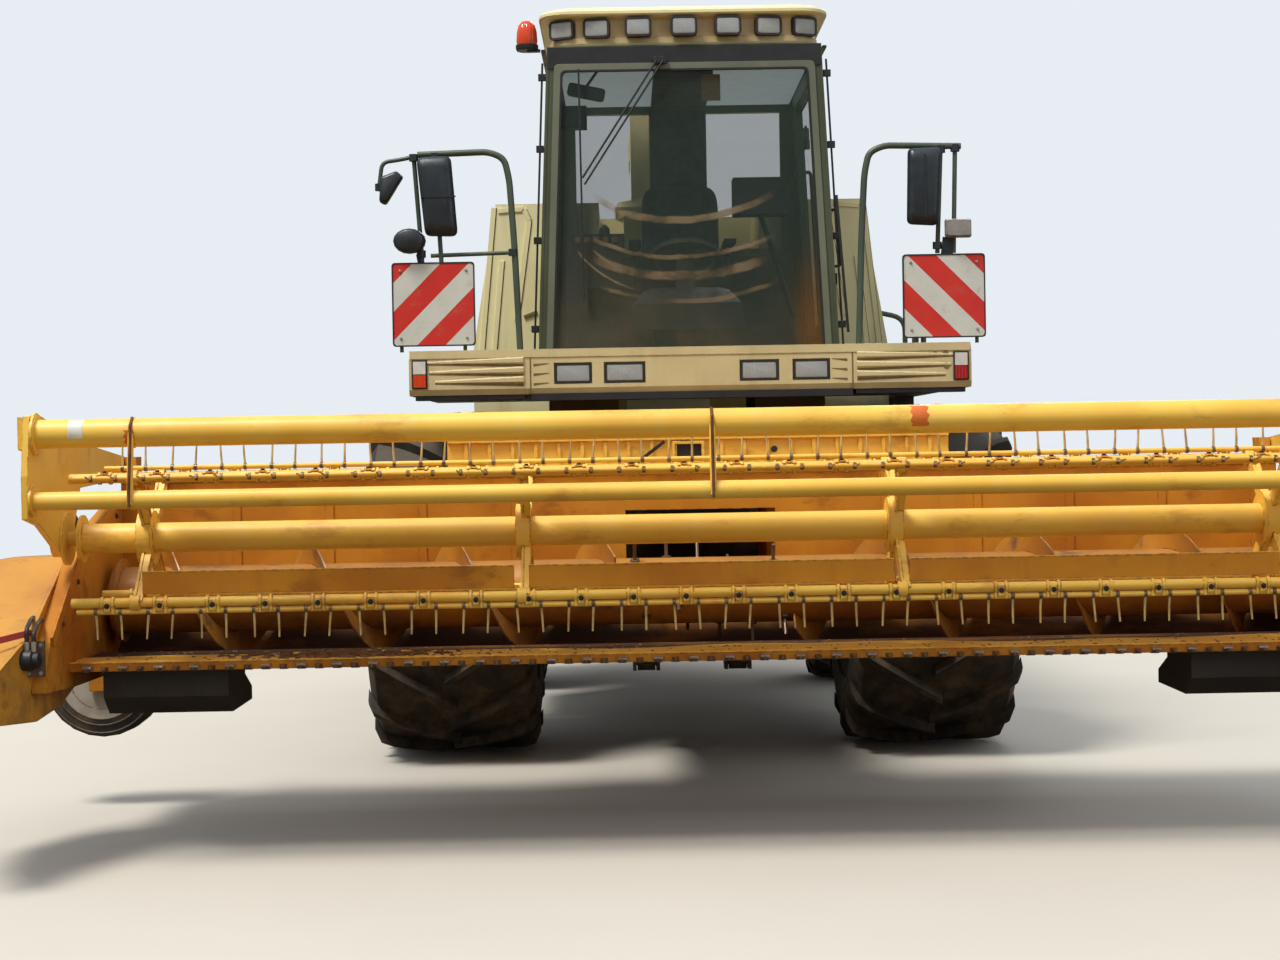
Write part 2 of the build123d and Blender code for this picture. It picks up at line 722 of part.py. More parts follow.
with BuildPart() as beacon:
    rod((beacon_x, beacon_y, 3800), (beacon_x, beacon_y, 3830), 45)
    rod((beacon_x, beacon_y, 3828), (beacon_x, beacon_y, 3950), 38)
    block((beacon_x, -roof_half_width), (beacon_y - 12, beacon_y + 12), (3805, 3822))
save(beacon, "beacon")

# Seat, steering wheel and console
inside_floor_z = cab_floor_z + cab_wall
with BuildPart() as seat:
    block((-200, 200), (150, 550), (inside_floor_z, 2410))
    block((-260, 260), (40, 570), (2400, 2530))
    slab([(470, 2520), (590, 2520), (680, 3150), (590, 3150)], (-250, 250))
save(seat, "seat")

with BuildPart() as controls:
    slab([(-520, inside_floor_z), (-400, inside_floor_z), (-240, 2700), (-310, 2715)], (-50, 50))
    with Locations(Plane(origin=(0, aft(-270), 2700), z_dir=(0, 0.5, 1))):
        Cylinder(200, 26)
        Cylinder(165, 30, mode=Mode.SUBTRACT)
        Box(340, 46, 20)
        Cylinder(55, 30)
save(controls, "controls")

with BuildPart() as side_console:
    block((-540, -330), (-80, 480), (inside_floor_z, 2700))
    block((-640, -330), (-140, -80), (2560, 2860))
save(side_console, "side_console")

# Rails with the mirrors, standing on the ends of the bumper
rail_tube_radius = 17
rail_y = -840
rail_points = [(884, bumper_top_z), (884, 2300), (905, 3000), (986, 3235), (1440, 3210),
               (1440, bumper_top_z)]
mirror_box = ((1180, 1410), (-900, -850), (2810, 3180))
for name, side in (("left", 1), ("right", -1)):
    with BuildPart() as mirror_rail:
        path_points = [(side * x, aft(rail_y), z) for x, z in rail_points]
        with BuildLine() as path:
            FilletPolyline(path_points, radius=70)
        with BuildSketch(Plane(origin=path.line @ 0, z_dir=path.line % 0)):
            Circle(rail_tube_radius)
        sweep(path=path.line)
        rod((side * 896, rail_y, 2690), (side * 1440, rail_y, 2690), 12)
        mirror_x, mirror_y, mirror_z = mirror_box
        block((side * mirror_x[0], side * mirror_x[1]), mirror_y, mirror_z)
        block((side * 1400, side * 1430), (-870, -845), (2900, 2930))
        block((side * 1400, side * 1430), (-870, -845), (3060, 3090))
    save(mirror_rail, f"mirror_rail_{name}")

plate_sheet = 8
with BuildPart() as warning_plates:
    for side in (-1, 1):
        front = rail_y - rail_tube_radius - plate_sheet
        block((side * 1117, side * 1540), (front, front + plate_sheet), (2222, 2650))
save(warning_plates, "warning_plates")

# Fairings from the cab to the engine body
fairing_inner = 480
with BuildPart() as side_fairings:
    for side in (-1, 1):
        bulkhead([(side * fairing_inner, body_bottom_z), (side * body_half_width, body_bottom_z),
                  (side * body_half_width, body_kink_z), (side * body_top_half, body_top_z),
                  (side * fairing_inner, body_top_z)], (fairing_front, body_front))
save(side_fairings, "side_fairings")


def body_half(z):
    """Half width of the engine body at a height."""
    if z <= body_kink_z:
        return body_half_width
    share = (z - body_kink_z) / (body_top_z - body_kink_z)
    return body_half_width + share * (body_top_half - body_half_width)


def body_outline(inset, low, high):
    points = [(body_half(low) - inset, low), (body_half_width - inset, body_kink_z),
              (body_half(high) - inset, high)]
    return [(-x, z) for x, z in reversed(points)] + points


def body_side(side, near, far, low, high):
    heights = (low, body_kink_z, high)
    outside = [(side * (body_half(z) - near), z) for z in heights]
    inside = [(side * (body_half(z) - far), z) for z in reversed(heights)]
    return outside + inside


hatch_hinge_out = 26
hatch_hinge_z = hatch_top_z + 2
hatch_hinge_places = (2300, 4400)
hatch_knuckle = 16
hatch_pin = 8
louvre_front = 3380
louvre_rear = 4520
louvre_depth = 16
louvre_places = range(2390, 2900, 90)
slat_half = 720
slat_places = range(2330, 2900, 80)
with BuildPart() as rear_body:
    bulkhead(body_outline(0, body_bottom_z, body_top_z), (body_front, body_rear))
    bulkhead(body_outline(body_wall, body_bottom_z - 5, body_top_z - body_wall),
             (body_front + body_wall, body_rear - body_wall), mode=Mode.SUBTRACT)
    for side in (-1, 1):
        bulkhead(body_side(side, -20, body_wall + 20, hatch_bottom_z - panel_gap,
                           hatch_top_z + panel_gap),
                 (hatch_front - panel_gap, hatch_rear + panel_gap), mode=Mode.SUBTRACT)
        rail = (side * rail_inner_x, side * (rail_inner_x + rail_width))
        block(rail, (body_front, body_front + body_wall), (rail_top_z, body_bottom_z + 5))
        block(rail, (body_rear - body_wall, body_rear), (rail_top_z, body_bottom_z + 5))
        axis_x = side * (body_half(hatch_top_z) + hatch_hinge_out)
        for place in hatch_hinge_places:
            rod((axis_x, place - 70, hatch_hinge_z), (axis_x, place + 70, hatch_hinge_z), hatch_pin)
            for end in (-1, 1):
                near = place + end * 45
                far = place + end * 75
                rod((axis_x, near, hatch_hinge_z), (axis_x, far, hatch_hinge_z), hatch_knuckle)
                block((side * (body_half(hatch_hinge_z) - 30), axis_x), (min(near, far), max(near, far)),
                      (hatch_hinge_z, hatch_hinge_z + hatch_knuckle))
    for z in slat_places:
        slab([(body_rear - 5, z), (body_rear + 16, z), (body_rear - 5, z + 52)], (-slat_half, slat_half))
save(rear_body, "rear_body")

for name, side in (("left", 1), ("right", -1)):
    with BuildPart() as hatch:
        bulkhead(body_side(side, 0, hatch_sheet, hatch_bottom_z, hatch_top_z), (hatch_front, hatch_rear))
        for z in louvre_places:
            bulkhead([(side * (body_half(z) - 5), z), (side * (body_half(z) + louvre_depth), z - 50),
                      (side * (body_half(z - 56) - 5), z - 56)], (louvre_front, louvre_rear))
        axis_x = side * (body_half(hatch_top_z) + hatch_hinge_out)
        for place in hatch_hinge_places:
            block((side * (body_half(hatch_top_z) - 20), axis_x), (place - 39, place + 39),
                  (hatch_top_z - hatch_knuckle, hatch_top_z))
            rod((axis_x, place - 39, hatch_hinge_z), (axis_x, place + 39, hatch_hinge_z), hatch_knuckle)
            rod((axis_x, place - 45, hatch_hinge_z), (axis_x, place + 45, hatch_hinge_z),
                hatch_pin + play, mode=Mode.SUBTRACT)
    save(hatch, f"service_door_{name}")

# Exhaust on the hood
with BuildPart() as exhaust:
    rod((720, 3000, body_top_z), (720, 3000, 3480), 75)
    rod((720, 3000, 3200), (720, 3000, 3481), 65, mode=Mode.SUBTRACT)
save(exhaust, "exhaust")

# Spout tower, fed by the chopper housing
with BuildPart() as spout_base:
    low_y = tower_y - tower_half_width
    high_y = tower_y + tower_half_width
    slab([(chopper_rear, 1150), (chopper_rear, 1650), (low_y, 2050), (low_y, tower_top_z - 60),
          (high_y, tower_top_z - 60), (high_y, 1800), (1250, rail_top_z), (930, 1150)],
         (spout_x - tower_half_width, spout_x + tower_half_width))
    rod((spout_x, tower_y, tower_top_z - 60), (spout_x, tower_y, tower_top_z), 290)
    rod((spout_x, tower_y, 2000), (spout_x, tower_y, tower_top_z + 1), turret_bore, mode=Mode.SUBTRACT)
save(spout_base, "spout_base")

# Turret: a spigot in the tower and a bent duct above it
outlet_y = tower_y + 330
boom_top_z = elbow_top_z - 30
boom_hinge = (outlet_y + 36, elbow_top_z + 10)
boom_hinge_x = (140, 170)
hinge_pin_radius = 14
with BuildPart() as spout_turret:
    turret_low = tower_top_z + seat_gap
    rod((spout_x, tower_y, tower_top_z - 80), (spout_x, tower_y, turret_low + 10), turret_bore - play)
    rod((spout_x, tower_y, turret_low), (spout_x, tower_y, turret_low + 40), 290)
    with BuildSketch(Plane.YZ.offset(spout_x - elbow_half_width)):
        with BuildLine():
            front_y = tower_y - 230
            bend_z = elbow_top_z - 450
            Line((aft(tower_y + 220), turret_low + 30), (aft(front_y), turret_low + 30))
            Line((aft(front_y), turret_low + 30), (aft(front_y), bend_z))
            RadiusArc((aft(front_y), bend_z), (aft(front_y + 450), elbow_top_z), 450)
            Line((aft(front_y + 450), elbow_top_z), (aft(outlet_y), elbow_top_z))
            Line((aft(outlet_y), elbow_top_z), (aft(outlet_y), elbow_top_z - boom_root_height - 60))
            Line((aft(outlet_y), elbow_top_z - boom_root_height - 60),
                 (aft(tower_y + 220), elbow_top_z - boom_root_height - 180))
            Line((aft(tower_y + 220), elbow_top_z - boom_root_height - 180),
                 (aft(tower_y + 220), turret_low + 30))
        make_face()
    extrude(amount=2 * elbow_half_width)
    # The duct inside: up from the spigot, then out to the rear
    duct_half = elbow_half_width - spout_sheet
    rod((spout_x, tower_y, tower_top_z - 90), (spout_x, tower_y, turret_low + 60), duct_half,
        mode=Mode.SUBTRACT)
    block((spout_x - duct_half, spout_x + duct_half), (tower_y - 180, tower_y + 190),
          (turret_low + 50, elbow_top_z - 200), mode=Mode.SUBTRACT)
    block((spout_x - duct_half, spout_x + duct_half), (tower_y - 60, outlet_y + 5),
          (elbow_top_z - boom_root_height - 30, elbow_top_z - 30), mode=Mode.SUBTRACT)
    for side in (-1, 1):
        x_low = spout_x + side * boom_hinge_x[0]
        x_high = spout_x + side * boom_hinge_x[1]
        slab([(outlet_y - 80, elbow_top_z - 5), (boom_hinge[0] - 10, elbow_top_z - 5),
              (boom_hinge[0], boom_hinge[1] + 28), (outlet_y - 60, boom_hinge[1] + 20)], (x_low, x_high))
        rod((x_low, *boom_hinge), (x_high, *boom_hinge), 28)
    rod((spout_x - boom_hinge_x[1], *boom_hinge), (spout_x + boom_hinge_x[1], *boom_hinge),
        hinge_pin_radius)
save(spout_turret, "spout_turret")

# Boom: a duct that narrows towards its tip
boom_start = outlet_y + boom_gap
boom_end = boom_start + boom_length
boom_drop = 60
flap_hinge = (boom_end - 10, boom_top_z - boom_drop + 22)
flap_hinge_x = 120
with BuildPart() as spout_boom:
    tip_top_z = boom_top_z - boom_drop
    slab([(boom_start, boom_top_z), (boom_end, tip_top_z), (boom_end, tip_top_z - boom_tip_height),
          (boom_start, boom_top_z - boom_root_height)],
         (spout_x - boom_half_width, spout_x + boom_half_width))
    inner_half = boom_half_width - spout_sheet
    slab([(boom_start - 5, boom_top_z - spout_sheet), (boom_end + 5, tip_top_z - spout_sheet),
          (boom_end + 5, tip_top_z - boom_tip_height + spout_sheet),
          (boom_start - 5, boom_top_z - boom_root_height + spout_sheet)],
         (spout_x - inner_half, spout_x + inner_half), mode=Mode.SUBTRACT)
    # Knuckles on the turret's pin
    knuckle_half = boom_hinge_x[0] - panel_gap
    rod((spout_x - knuckle_half, *boom_hinge), (spout_x + knuckle_half, *boom_hinge), 28)
    slab([(boom_hinge[0] + 5, boom_hinge[1] + 20), (boom_start + 200, boom_top_z - 5),
          (boom_start + 4, boom_top_z - 5)], (spout_x - knuckle_half, spout_x + knuckle_half))
    rod((spout_x - knuckle_half - 1, *boom_hinge), (spout_x + knuckle_half + 1, *boom_hinge),
        hinge_pin_radius + play, mode=Mode.SUBTRACT)
    # Pin of the flap, on two ears
    for side in (-1, 1):
        x_low = spout_x + side * (flap_hinge_x - 20)
        x_high = spout_x + side * flap_hinge_x
        slab([(boom_end - 120, tip_top_z - 5), (boom_end, tip_top_z - 5),
              (flap_hinge[0] + 8, flap_hinge[1] + 14), (flap_hinge[0] - 20, flap_hinge[1] + 14)],
             (x_low, x_high))
    rod((spout_x - boom_half_width, *flap_hinge), (spout_x + boom_half_width, *flap_hinge), 9)
save(spout_boom, "spout_boom")

flap_sheet = 10
with BuildPart() as spout_flap:
    inner_x = boom_half_width + panel_gap
    outer_x = inner_x + flap_sheet
    flap_end = flap_hinge[0] + flap_length
    for side in (-1, 1):
        slab([(flap_hinge[0] - 30, flap_hinge[1] + 16), (flap_end, flap_hinge[1] - 24),
              (flap_end - 20, flap_hinge[1] - 190), (flap_hinge[0] - 10, flap_hinge[1] - 150)],
             (spout_x + side * inner_x, spout_x + side * outer_x))
    slab([(flap_hinge[0] + 32, flap_hinge[1] + 11), (flap_end, flap_hinge[1] - 24),
          (flap_end, flap_hinge[1] - 34), (flap_hinge[0] + 32, flap_hinge[1] + 1)],
         (spout_x - outer_x, spout_x + outer_x))
    for side in (-1, 1):
        x_low = spout_x + side * (flap_hinge_x + panel_gap)
        x_high = spout_x + side * outer_x
        rod((x_low, *flap_hinge), (x_high, *flap_hinge), 18)
        block((min(x_low, x_high), max(x_low, x_high)), (flap_hinge[0], flap_hinge[0] + 36),
              (flap_hinge[1] + 2, flap_hinge[1] + 12))
    rod((spout_x - boom_half_width - 1, *flap_hinge), (spout_x + boom_half_width + 1, *flap_hinge),
        9 + play, mode=Mode.SUBTRACT)
save(spout_flap, "spout_flap")

# Header table: floor, trough and back wall of sheet, side sheets and beams
shaft_radius = 30
reel_foot = (-2150, 1250)
reel_eye = (-2750, 1570)
reel_cylinder_x = side_outer + 55
reel_barrel_radius = 24
reel_rod_radius = 12
reel_eye_width = 30


def trough_line(inset):
    """Points where the trough, set back by the sheet, meets the floor and the wall."""
    radius = trough_radius + inset
    floor = table_floor_z - inset
    start_y = auger_y - math.sqrt(radius ** 2 - (auger_z - floor) ** 2)
    middle_angle = math.radians(-50)
    middle = (auger_y + radius * math.cos(middle_angle), auger_z + radius * math.sin(middle_angle))
    return (start_y, floor), middle, (auger_y + radius, auger_z)


with BuildPart() as header_frame:
    with BuildSketch(Plane.YZ.offset(-table_half_width - 5)):
        with BuildLine():
            inner_start, inner_middle, inner_end = trough_line(0)
            outer_start, outer_middle, outer_end = trough_line(table_sheet)
            wall_inner_y = auger_y + trough_radius
            wall_outer_y = wall_inner_y + table_sheet
            Line((aft(knife_y), table_floor_z), (aft(inner_start[0]), inner_start[1]))
            ThreePointArc((aft(inner_start[0]), inner_start[1]), (aft(inner_middle[0]), inner_middle[1]),
                          (aft(inner_end[0]), inner_end[1]))
            Line((aft(wall_inner_y), auger_z), (aft(wall_inner_y), table_top_z))
            Line((aft(wall_inner_y), table_top_z), (aft(wall_outer_y), table_top_z))
            Line((aft(wall_outer_y), table_top_z), (aft(wall_outer_y), auger_z))
            ThreePointArc((aft(outer_end[0]), outer_end[1]), (aft(outer_middle[0]), outer_middle[1]),
                          (aft(outer_start[0]), outer_start[1]))
            Line((aft(outer_start[0]), outer_start[1]), (aft(knife_y), outer_start[1]))
            Line((aft(knife_y), outer_start[1]), (aft(knife_y), table_floor_z))
        make_face()
    extrude(amount=2 * table_half_width + 10)
    beam_front = back_wall_y + table_sheet
    for side in (-1, 1):
        slab([(beam_front, 720), (beam_front, 1490), (-2700, 1300), (-3250, 920), (-3320, 720),
              (-2900, 700), (-2300, 690)], (side * table_half_width, side * side_outer))
        # Bearing of the auger shaft
        rod((side * (table_half_width - 20), auger_y, auger_z), (side * (side_outer + 15), auger_y, auger_z),
            80)
        rod((side * (table_half_width - 30), auger_y, auger_z), (side * (side_outer + 20), auger_y, auger_z),
            shaft_radius + play, mode=Mode.SUBTRACT)
        # Bracket and pin of the reel arm
        slab([(beam_front, 1500), (beam_front + back_beam, 1500), (reel_pivot_y + 50, reel_pivot_z + 50),
              (reel_pivot_y - 50, reel_pivot_z + 50)], (side * (arm_inner_x - 60), side * (arm_inner_x - 8)))
        rod((side * (arm_inner_x - 30), reel_pivot_y, reel_pivot_z),
            (side * (arm_inner_x + arm_sheet + arm_box), reel_pivot_y, reel_pivot_z), reel_pin_radius)
        # Pin for the foot of the reel's lift cylinder
        rod((side * (side_outer - 5), *reel_foot), (side * (reel_cylinder_x + 20), *reel_foot), 14)
    block((-table_half_width, table_half_width), (beam_front - 5, beam_front + back_beam),
          (table_top_z - 100, table_top_z))
    block((-table_half_width, table_half_width), (beam_front - 5, beam_front + back_beam), (740, 800))
    block((-table_half_width, -table_half_width + 60), (beam_front - 5, beam_front + back_beam),
          (740, table_top_z - 50))
    block((table_half_width - 60, table_half_width), (beam_front - 5, beam_front + back_beam),
          (740, table_top_z - 50))
    # Collar and hole where the crop leaves the table
    collar = feed_half_width + feed_wall
    block((-collar, collar), (beam_front - 5, beam_front + back_beam),
          (feed_floor_z - 60, feed_roof_z + 60))
    block((-feed_half_width, feed_half_width), (back_wall_y - 5, beam_front + back_beam + 5),
          (feed_floor_z, feed_roof_z), mode=Mode.SUBTRACT)
    # Bracket and stub axle of the transport wheel
    wheel_plate = beam_front + back_beam
    block((spare_wheel_x - 50, -table_half_width + 100), (wheel_plate, wheel_plate + 25), (560, 900))
    rod((spare_wheel_x, wheel_plate + 20, spare_wheel_z),
        (spare_wheel_x, spare_wheel_y + spare_wheel_width / 2, spare_wheel_z), spare_axle_radius)
save(header_frame, "header_frame")

# Transport wheel: its tyre is round in flat steps like the big ones
spare_half = spare_wheel_width / 2
spare_sections = [(-spare_half, 200), (10 - spare_half, 260), (40 - spare_half, spare_wheel_radius),
                  (spare_half - 40, spare_wheel_radius), (spare_half - 10, 260), (spare_half, 200)]
spare_dish_radius = 150
spare_dish_depth = 60


def spare_ring(place, radius):
    """Outline of the transport wheel at one place along its axle."""
    origin = (spare_wheel_x, aft(spare_wheel_y) + place, spare_wheel_z)
    with BuildSketch(Plane(origin=origin, x_dir=(1, 0, 0), z_dir=(0, 1, 0))) as outline:
        RegularPolygon(radius, tyre_flats)
    return outline.sketch


with BuildPart() as header_wheel:
    loft([spare_ring(place, radius) for place, radius in spare_sections], ruled=True)
    extrude(spare_ring(-spare_half, spare_dish_radius), amount=spare_dish_depth, mode=Mode.SUBTRACT)
    rod((spare_wheel_x, spare_wheel_y - spare_half, spare_wheel_z),
        (spare_wheel_x, spare_wheel_y + spare_half, spare_wheel_z), spare_axle_radius + play,
        mode=Mode.SUBTRACT)
    block((spare_wheel_x - spare_dish_radius, spare_wheel_x + spare_dish_radius),
          (spare_wheel_y + spare_half - 10, spare_wheel_y + spare_half),
          (spare_wheel_z - spare_dish_radius, spare_wheel_z + spare_dish_radius), mode=Mode.SUBTRACT)
save(header_wheel, "header_wheel")

# Cutterbar with its guards along the front of the table
guard_length = 110
guard_pitch = 75
guard_root = 18         # half width of a guard at the bar and at its tip
guard_tip = 6
guard_count = int(2 * (table_half_width - guard_root) / guard_pitch)
comb_points = [(-table_half_width, aft(knife_y - 50))]
for number in range(guard_count):
    x = (number - (guard_count - 1) / 2) * guard_pitch
    comb_points += [(x - guard_root, aft(knife_y - 60)), (x - guard_tip, aft(knife_y - guard_length)),
                    (x + guard_tip, aft(knife_y - guard_length)), (x + guard_root, aft(knife_y - 60))]
comb_points += [(table_half_width, aft(knife_y - 50))]
with BuildPart() as cutterbar:
    block((-table_half_width, table_half_width), (knife_y - 70, knife_y),
          (table_floor_z - 30, table_floor_z - 6))
    with BuildSketch(Plane.XY.offset(table_floor_z - 26)) as comb:
        with BuildLine():
            Polyline(comb_points, close=True)
        make_face()
    extrude(comb.sketch, amount=16)
save(cutterbar, "cutterbar")

with BuildPart() as header_skids:
    skid_top_z = table_floor_z - table_sheet
    skid_outer_x = table_half_width - 120
    for side in (-1, 1):
        slab([(-2880, skid_top_z), (-2880, 650), (-2780, 570), (-2320, 570), (-2320, 630),
              (-2480, 700), (-2480, skid_top_z)], (side * (skid_outer_x - skid_width), side * skid_outer_x))
save(header_skids, "header_skids")

# Crop dividers outside the side sheets: how far out as a share of their width, and y
divider_plan = [
    (0.0, -2550),
    (0.64, -2650),
    (1.0, -3050),
    (0.85, -3500),
    (0.44, -header_reach),
    (0.28, -header_reach),
    (0.0, -3300),
]
with BuildPart() as crop_dividers:
    for side in (-1, 1):
        with BuildSketch(Plane.XY.offset(550)):
            with BuildLine():
                Polyline([(side * (side_outer + divider_width * share), aft(y))
                          for share, y in divider_plan],
                         close=True)
            make_face()
        extrude(amount=800)
    slab([(-2550, 700), (-2550, 1250), (-2750, 1240), (-3300, 960), (-header_reach, 700),
          (-header_reach, 650), (-3250, 600), (-2900, 620)],
         (-header_half_width - 10, header_half_width + 10), mode=Mode.INTERSECT)
save(crop_dividers, "crop_dividers")

# Auger: tube, stub shafts and slanted flights, opposite hands left and right
flight_sheet = 8
flight_slope = math.atan(auger_pitch / (2 * math.pi * auger_radius))
auger_end = table_half_width - 30
auger_middle = feed_half_width
with BuildPart() as auger:
    rod((-auger_end, auger_y, auger_z), (auger_end, auger_y, auger_z), auger_tube_radius)
    rod((-side_outer - 10, auger_y, auger_z), (side_outer + 10, auger_y, auger_z), shaft_radius)
    flights = int((auger_end - auger_middle) / auger_pitch)
    for side in (-1, 1):
        for turn in range(flights):
            x = side * (auger_end - 150 - turn * auger_pitch)
            lean = Vector(math.cos(flight_slope), 0, side * math.sin(flight_slope))
            with Locations(Plane(origin=(x, aft(auger_y), auger_z), z_dir=lean)):
                Cylinder(auger_radius, flight_sheet)
save(auger, "auger")

# Reel: tube, four bats on spiders, and double tines
bat_angles = (45, 135, 225, 315)
spider_outer_x = reel_half_length - 280
spider_inner_x = spider_outer_x / 3
spider_places = (-spider_outer_x, -spider_inner_x, spider_inner_x, spider_outer_x)
tine_lean = 45
bat_plate_depth = 110
bat_plate_sheet = 5
tine_pairs = int(2 * (reel_half_length - 80) / tine_pair_pitch)
with BuildPart() as reel:
    rod((-reel_half_length, reel_y, reel_z), (reel_half_length, reel_y, reel_z), reel_tube_radius)
    rod((-arm_inner_x - arm_sheet, reel_y, reel_z), (arm_inner_x + arm_sheet, reel_y, reel_z),
        shaft_radius)
    for angle in bat_angles:
        out_y = math.cos(math.radians(angle))
        out_z = math.sin(math.radians(angle))
        bat_y = reel_y + bat_radius * out_y
        bat_z = reel_z + bat_radius * out_z
        end = reel_half_length - 20
        rod((-end, bat_y, bat_z), (end, bat_y, bat_z), bat_tube_radius)
        down_y = math.cos(math.radians(angle + tine_lean))
        down_z = math.sin(math.radians(angle + tine_lean))
        frame = Plane(origin=(0, aft(bat_y), bat_z), x_dir=(1, 0, 0), z_dir=(0, down_y, down_z))
        tines = [(place * tine_pair_pitch + half * tine_gap / 2, 0, tine_length / 2)
                 for place in [n - (tine_pairs - 1) / 2 for n in range(tine_pairs)]
                 for half in (-1, 1)]
        with Locations([frame * Location(tine) for tine in tines]):
            Box(tine_size, tine_size, tine_length)
        # Spokes, and the stiffening plate opposite the tines
        spokes = Plane(origin=(0, aft(reel_y), reel_z), x_dir=(1, 0, 0), z_dir=(0, out_y, out_z))
        with Locations([spokes * Location((x, 0, bat_radius / 2)) for x in spider_places]):
            Box(spider_sheet, 70, bat_radius)
        with Locations(frame * Location((0, 0, -bat_plate_depth / 2 - bat_tube_radius / 2))):
            Box(2 * spider_outer_x, bat_plate_sheet, bat_plate_depth)
save(reel, "reel")

# Reel arms with the two cross tubes and their straps
strap_x = reel_half_length - 330
strap_places = (-strap_x, 0, strap_x)
with BuildPart() as reel_frame:
    for side in (-1, 1):
        inner = side * arm_inner_x
        outer = side * (arm_inner_x + arm_sheet)
        slab([(reel_pivot_y + 50, reel_pivot_z - 45), (reel_pivot_y + 50, reel_pivot_z + 45),
              (-2600, 1730), (top_tube_y + 60, top_tube_z + 80), (top_tube_y - 70, top_tube_z + 70),
              (low_tube_y - 50, low_tube_z + 100), (low_tube_y - 50, low_tube_z - 70),
              (-3330, 1400), (reel_y - 70, reel_z - 60), (reel_y + 70, reel_z - 60), (-2700, 1540)],
             (inner, outer))
        slab([(reel_pivot_y + 50, reel_pivot_z - 45), (reel_pivot_y + 50, reel_pivot_z + 45),
              (-2600, 1730), (top_tube_y + 60, top_tube_z + 70), (top_tube_y + 60, top_tube_z - 60),
              (-2600, 1610)], (outer, outer + side * arm_box))
        rod((inner, reel_y, reel_z), (outer + side * 25, reel_y, reel_z), 75)
        rod((inner - side * 5, reel_y, reel_z), (outer + side * 30, reel_y, reel_z), shaft_radius + play,
            mode=Mode.SUBTRACT)
        rod((inner - side * 5, reel_pivot_y, reel_pivot_z),
            (outer + side * (arm_box + 5), reel_pivot_y, reel_pivot_z), reel_pin_radius + play,
            mode=Mode.SUBTRACT)
    rod((-arm_inner_x - 5, top_tube_y, top_tube_z), (arm_inner_x + 5, top_tube_y, top_tube_z),
        top_tube_radius)
    rod((-arm_inner_x - 5, low_tube_y, low_tube_z), (arm_inner_x + 5, low_tube_y, low_tube_z),
        low_tube_radius)
    for x in strap_places:
        rod((x, top_tube_y - 50, top_tube_z), (x, low_tube_y - 30, low_tube_z - 20), 12)
save(reel_frame, "reel_frame")

# Lift cylinders of the reel, outside the side sheets
reel_cylinder_length = math.hypot(reel_eye[0] - reel_foot[0], reel_eye[1] - reel_foot[1])
reel_slope = ((reel_eye[0] - reel_foot[0]) / reel_cylinder_length,
              (reel_eye[1] - reel_foot[1]) / reel_cylinder_length)
reel_barrel_length = 430
with BuildPart() as reel_barrels:
    for side in (-1, 1):
        x = side * reel_cylinder_x
        rod(along(reel_foot, reel_slope, 20, x), along(reel_foot, reel_slope, reel_barrel_length, x),
            reel_barrel_radius)
        rod((x - reel_eye_width / 2, *reel_foot), (x + reel_eye_width / 2, *reel_foot), 30)
        rod(along(reel_foot, reel_slope, 40, x), along(reel_foot, reel_slope, reel_barrel_length + 1, x),
            reel_rod_radius + play, mode=Mode.SUBTRACT)
        rod((x - reel_eye_width, *reel_foot), (x + reel_eye_width, *reel_foot), 14 + play,
            mode=Mode.SUBTRACT)
save(reel_barrels, "reel_barrels")

with BuildPart() as reel_rods:
    for side in (-1, 1):
        x = side * reel_cylinder_x
        rod(along(reel_foot, reel_slope, 150, x), along(reel_foot, reel_slope, reel_cylinder_length - 5, x),
            reel_rod_radius)
        rod((x - reel_eye_width / 2, *reel_eye), (x + reel_eye_width / 2, *reel_eye), 26)
save(reel_rods, "reel_rods")
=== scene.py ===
# Looks of a self-propelled forage harvester with its whole-crop header, in metres.
# +Z is up, the machine looks towards -Y, its left hand side is +X.
# Places along the machine are counted from its front axle, and rearwards is positive.
import json
import math
import random

import bmesh
import bpy
from mathutils import Matrix, Vector

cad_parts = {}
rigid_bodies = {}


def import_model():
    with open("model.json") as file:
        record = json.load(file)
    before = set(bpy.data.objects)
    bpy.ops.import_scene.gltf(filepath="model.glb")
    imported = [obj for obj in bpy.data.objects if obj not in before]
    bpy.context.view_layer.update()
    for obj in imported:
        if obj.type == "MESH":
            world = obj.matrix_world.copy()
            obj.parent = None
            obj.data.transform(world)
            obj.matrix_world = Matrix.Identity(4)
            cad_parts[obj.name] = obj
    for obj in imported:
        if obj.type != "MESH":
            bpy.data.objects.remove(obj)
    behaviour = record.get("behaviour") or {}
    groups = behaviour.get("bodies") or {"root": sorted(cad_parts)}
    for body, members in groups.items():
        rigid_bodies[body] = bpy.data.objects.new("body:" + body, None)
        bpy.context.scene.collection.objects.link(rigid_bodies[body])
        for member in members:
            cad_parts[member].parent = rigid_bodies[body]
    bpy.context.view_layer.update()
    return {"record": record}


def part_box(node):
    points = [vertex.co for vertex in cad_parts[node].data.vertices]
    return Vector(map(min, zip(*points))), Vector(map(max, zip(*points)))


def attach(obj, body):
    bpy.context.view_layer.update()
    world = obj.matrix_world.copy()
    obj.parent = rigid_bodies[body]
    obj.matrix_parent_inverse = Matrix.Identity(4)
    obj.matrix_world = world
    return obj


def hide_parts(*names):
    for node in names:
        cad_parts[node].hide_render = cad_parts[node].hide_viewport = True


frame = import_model()
random.seed(7)

X = Vector((1, 0, 0))
Y = Vector((0, 1, 0))
Z = Vector((0, 0, 1))
SIDES = (-1, 1)
FRONT_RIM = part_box("rim_front_left")
AXLE_Y = (FRONT_RIM[0][1] + FRONT_RIM[1][1]) / 2


def aft(y):
    """Place along the frame of a distance behind the front axle."""
    return AXLE_Y + y


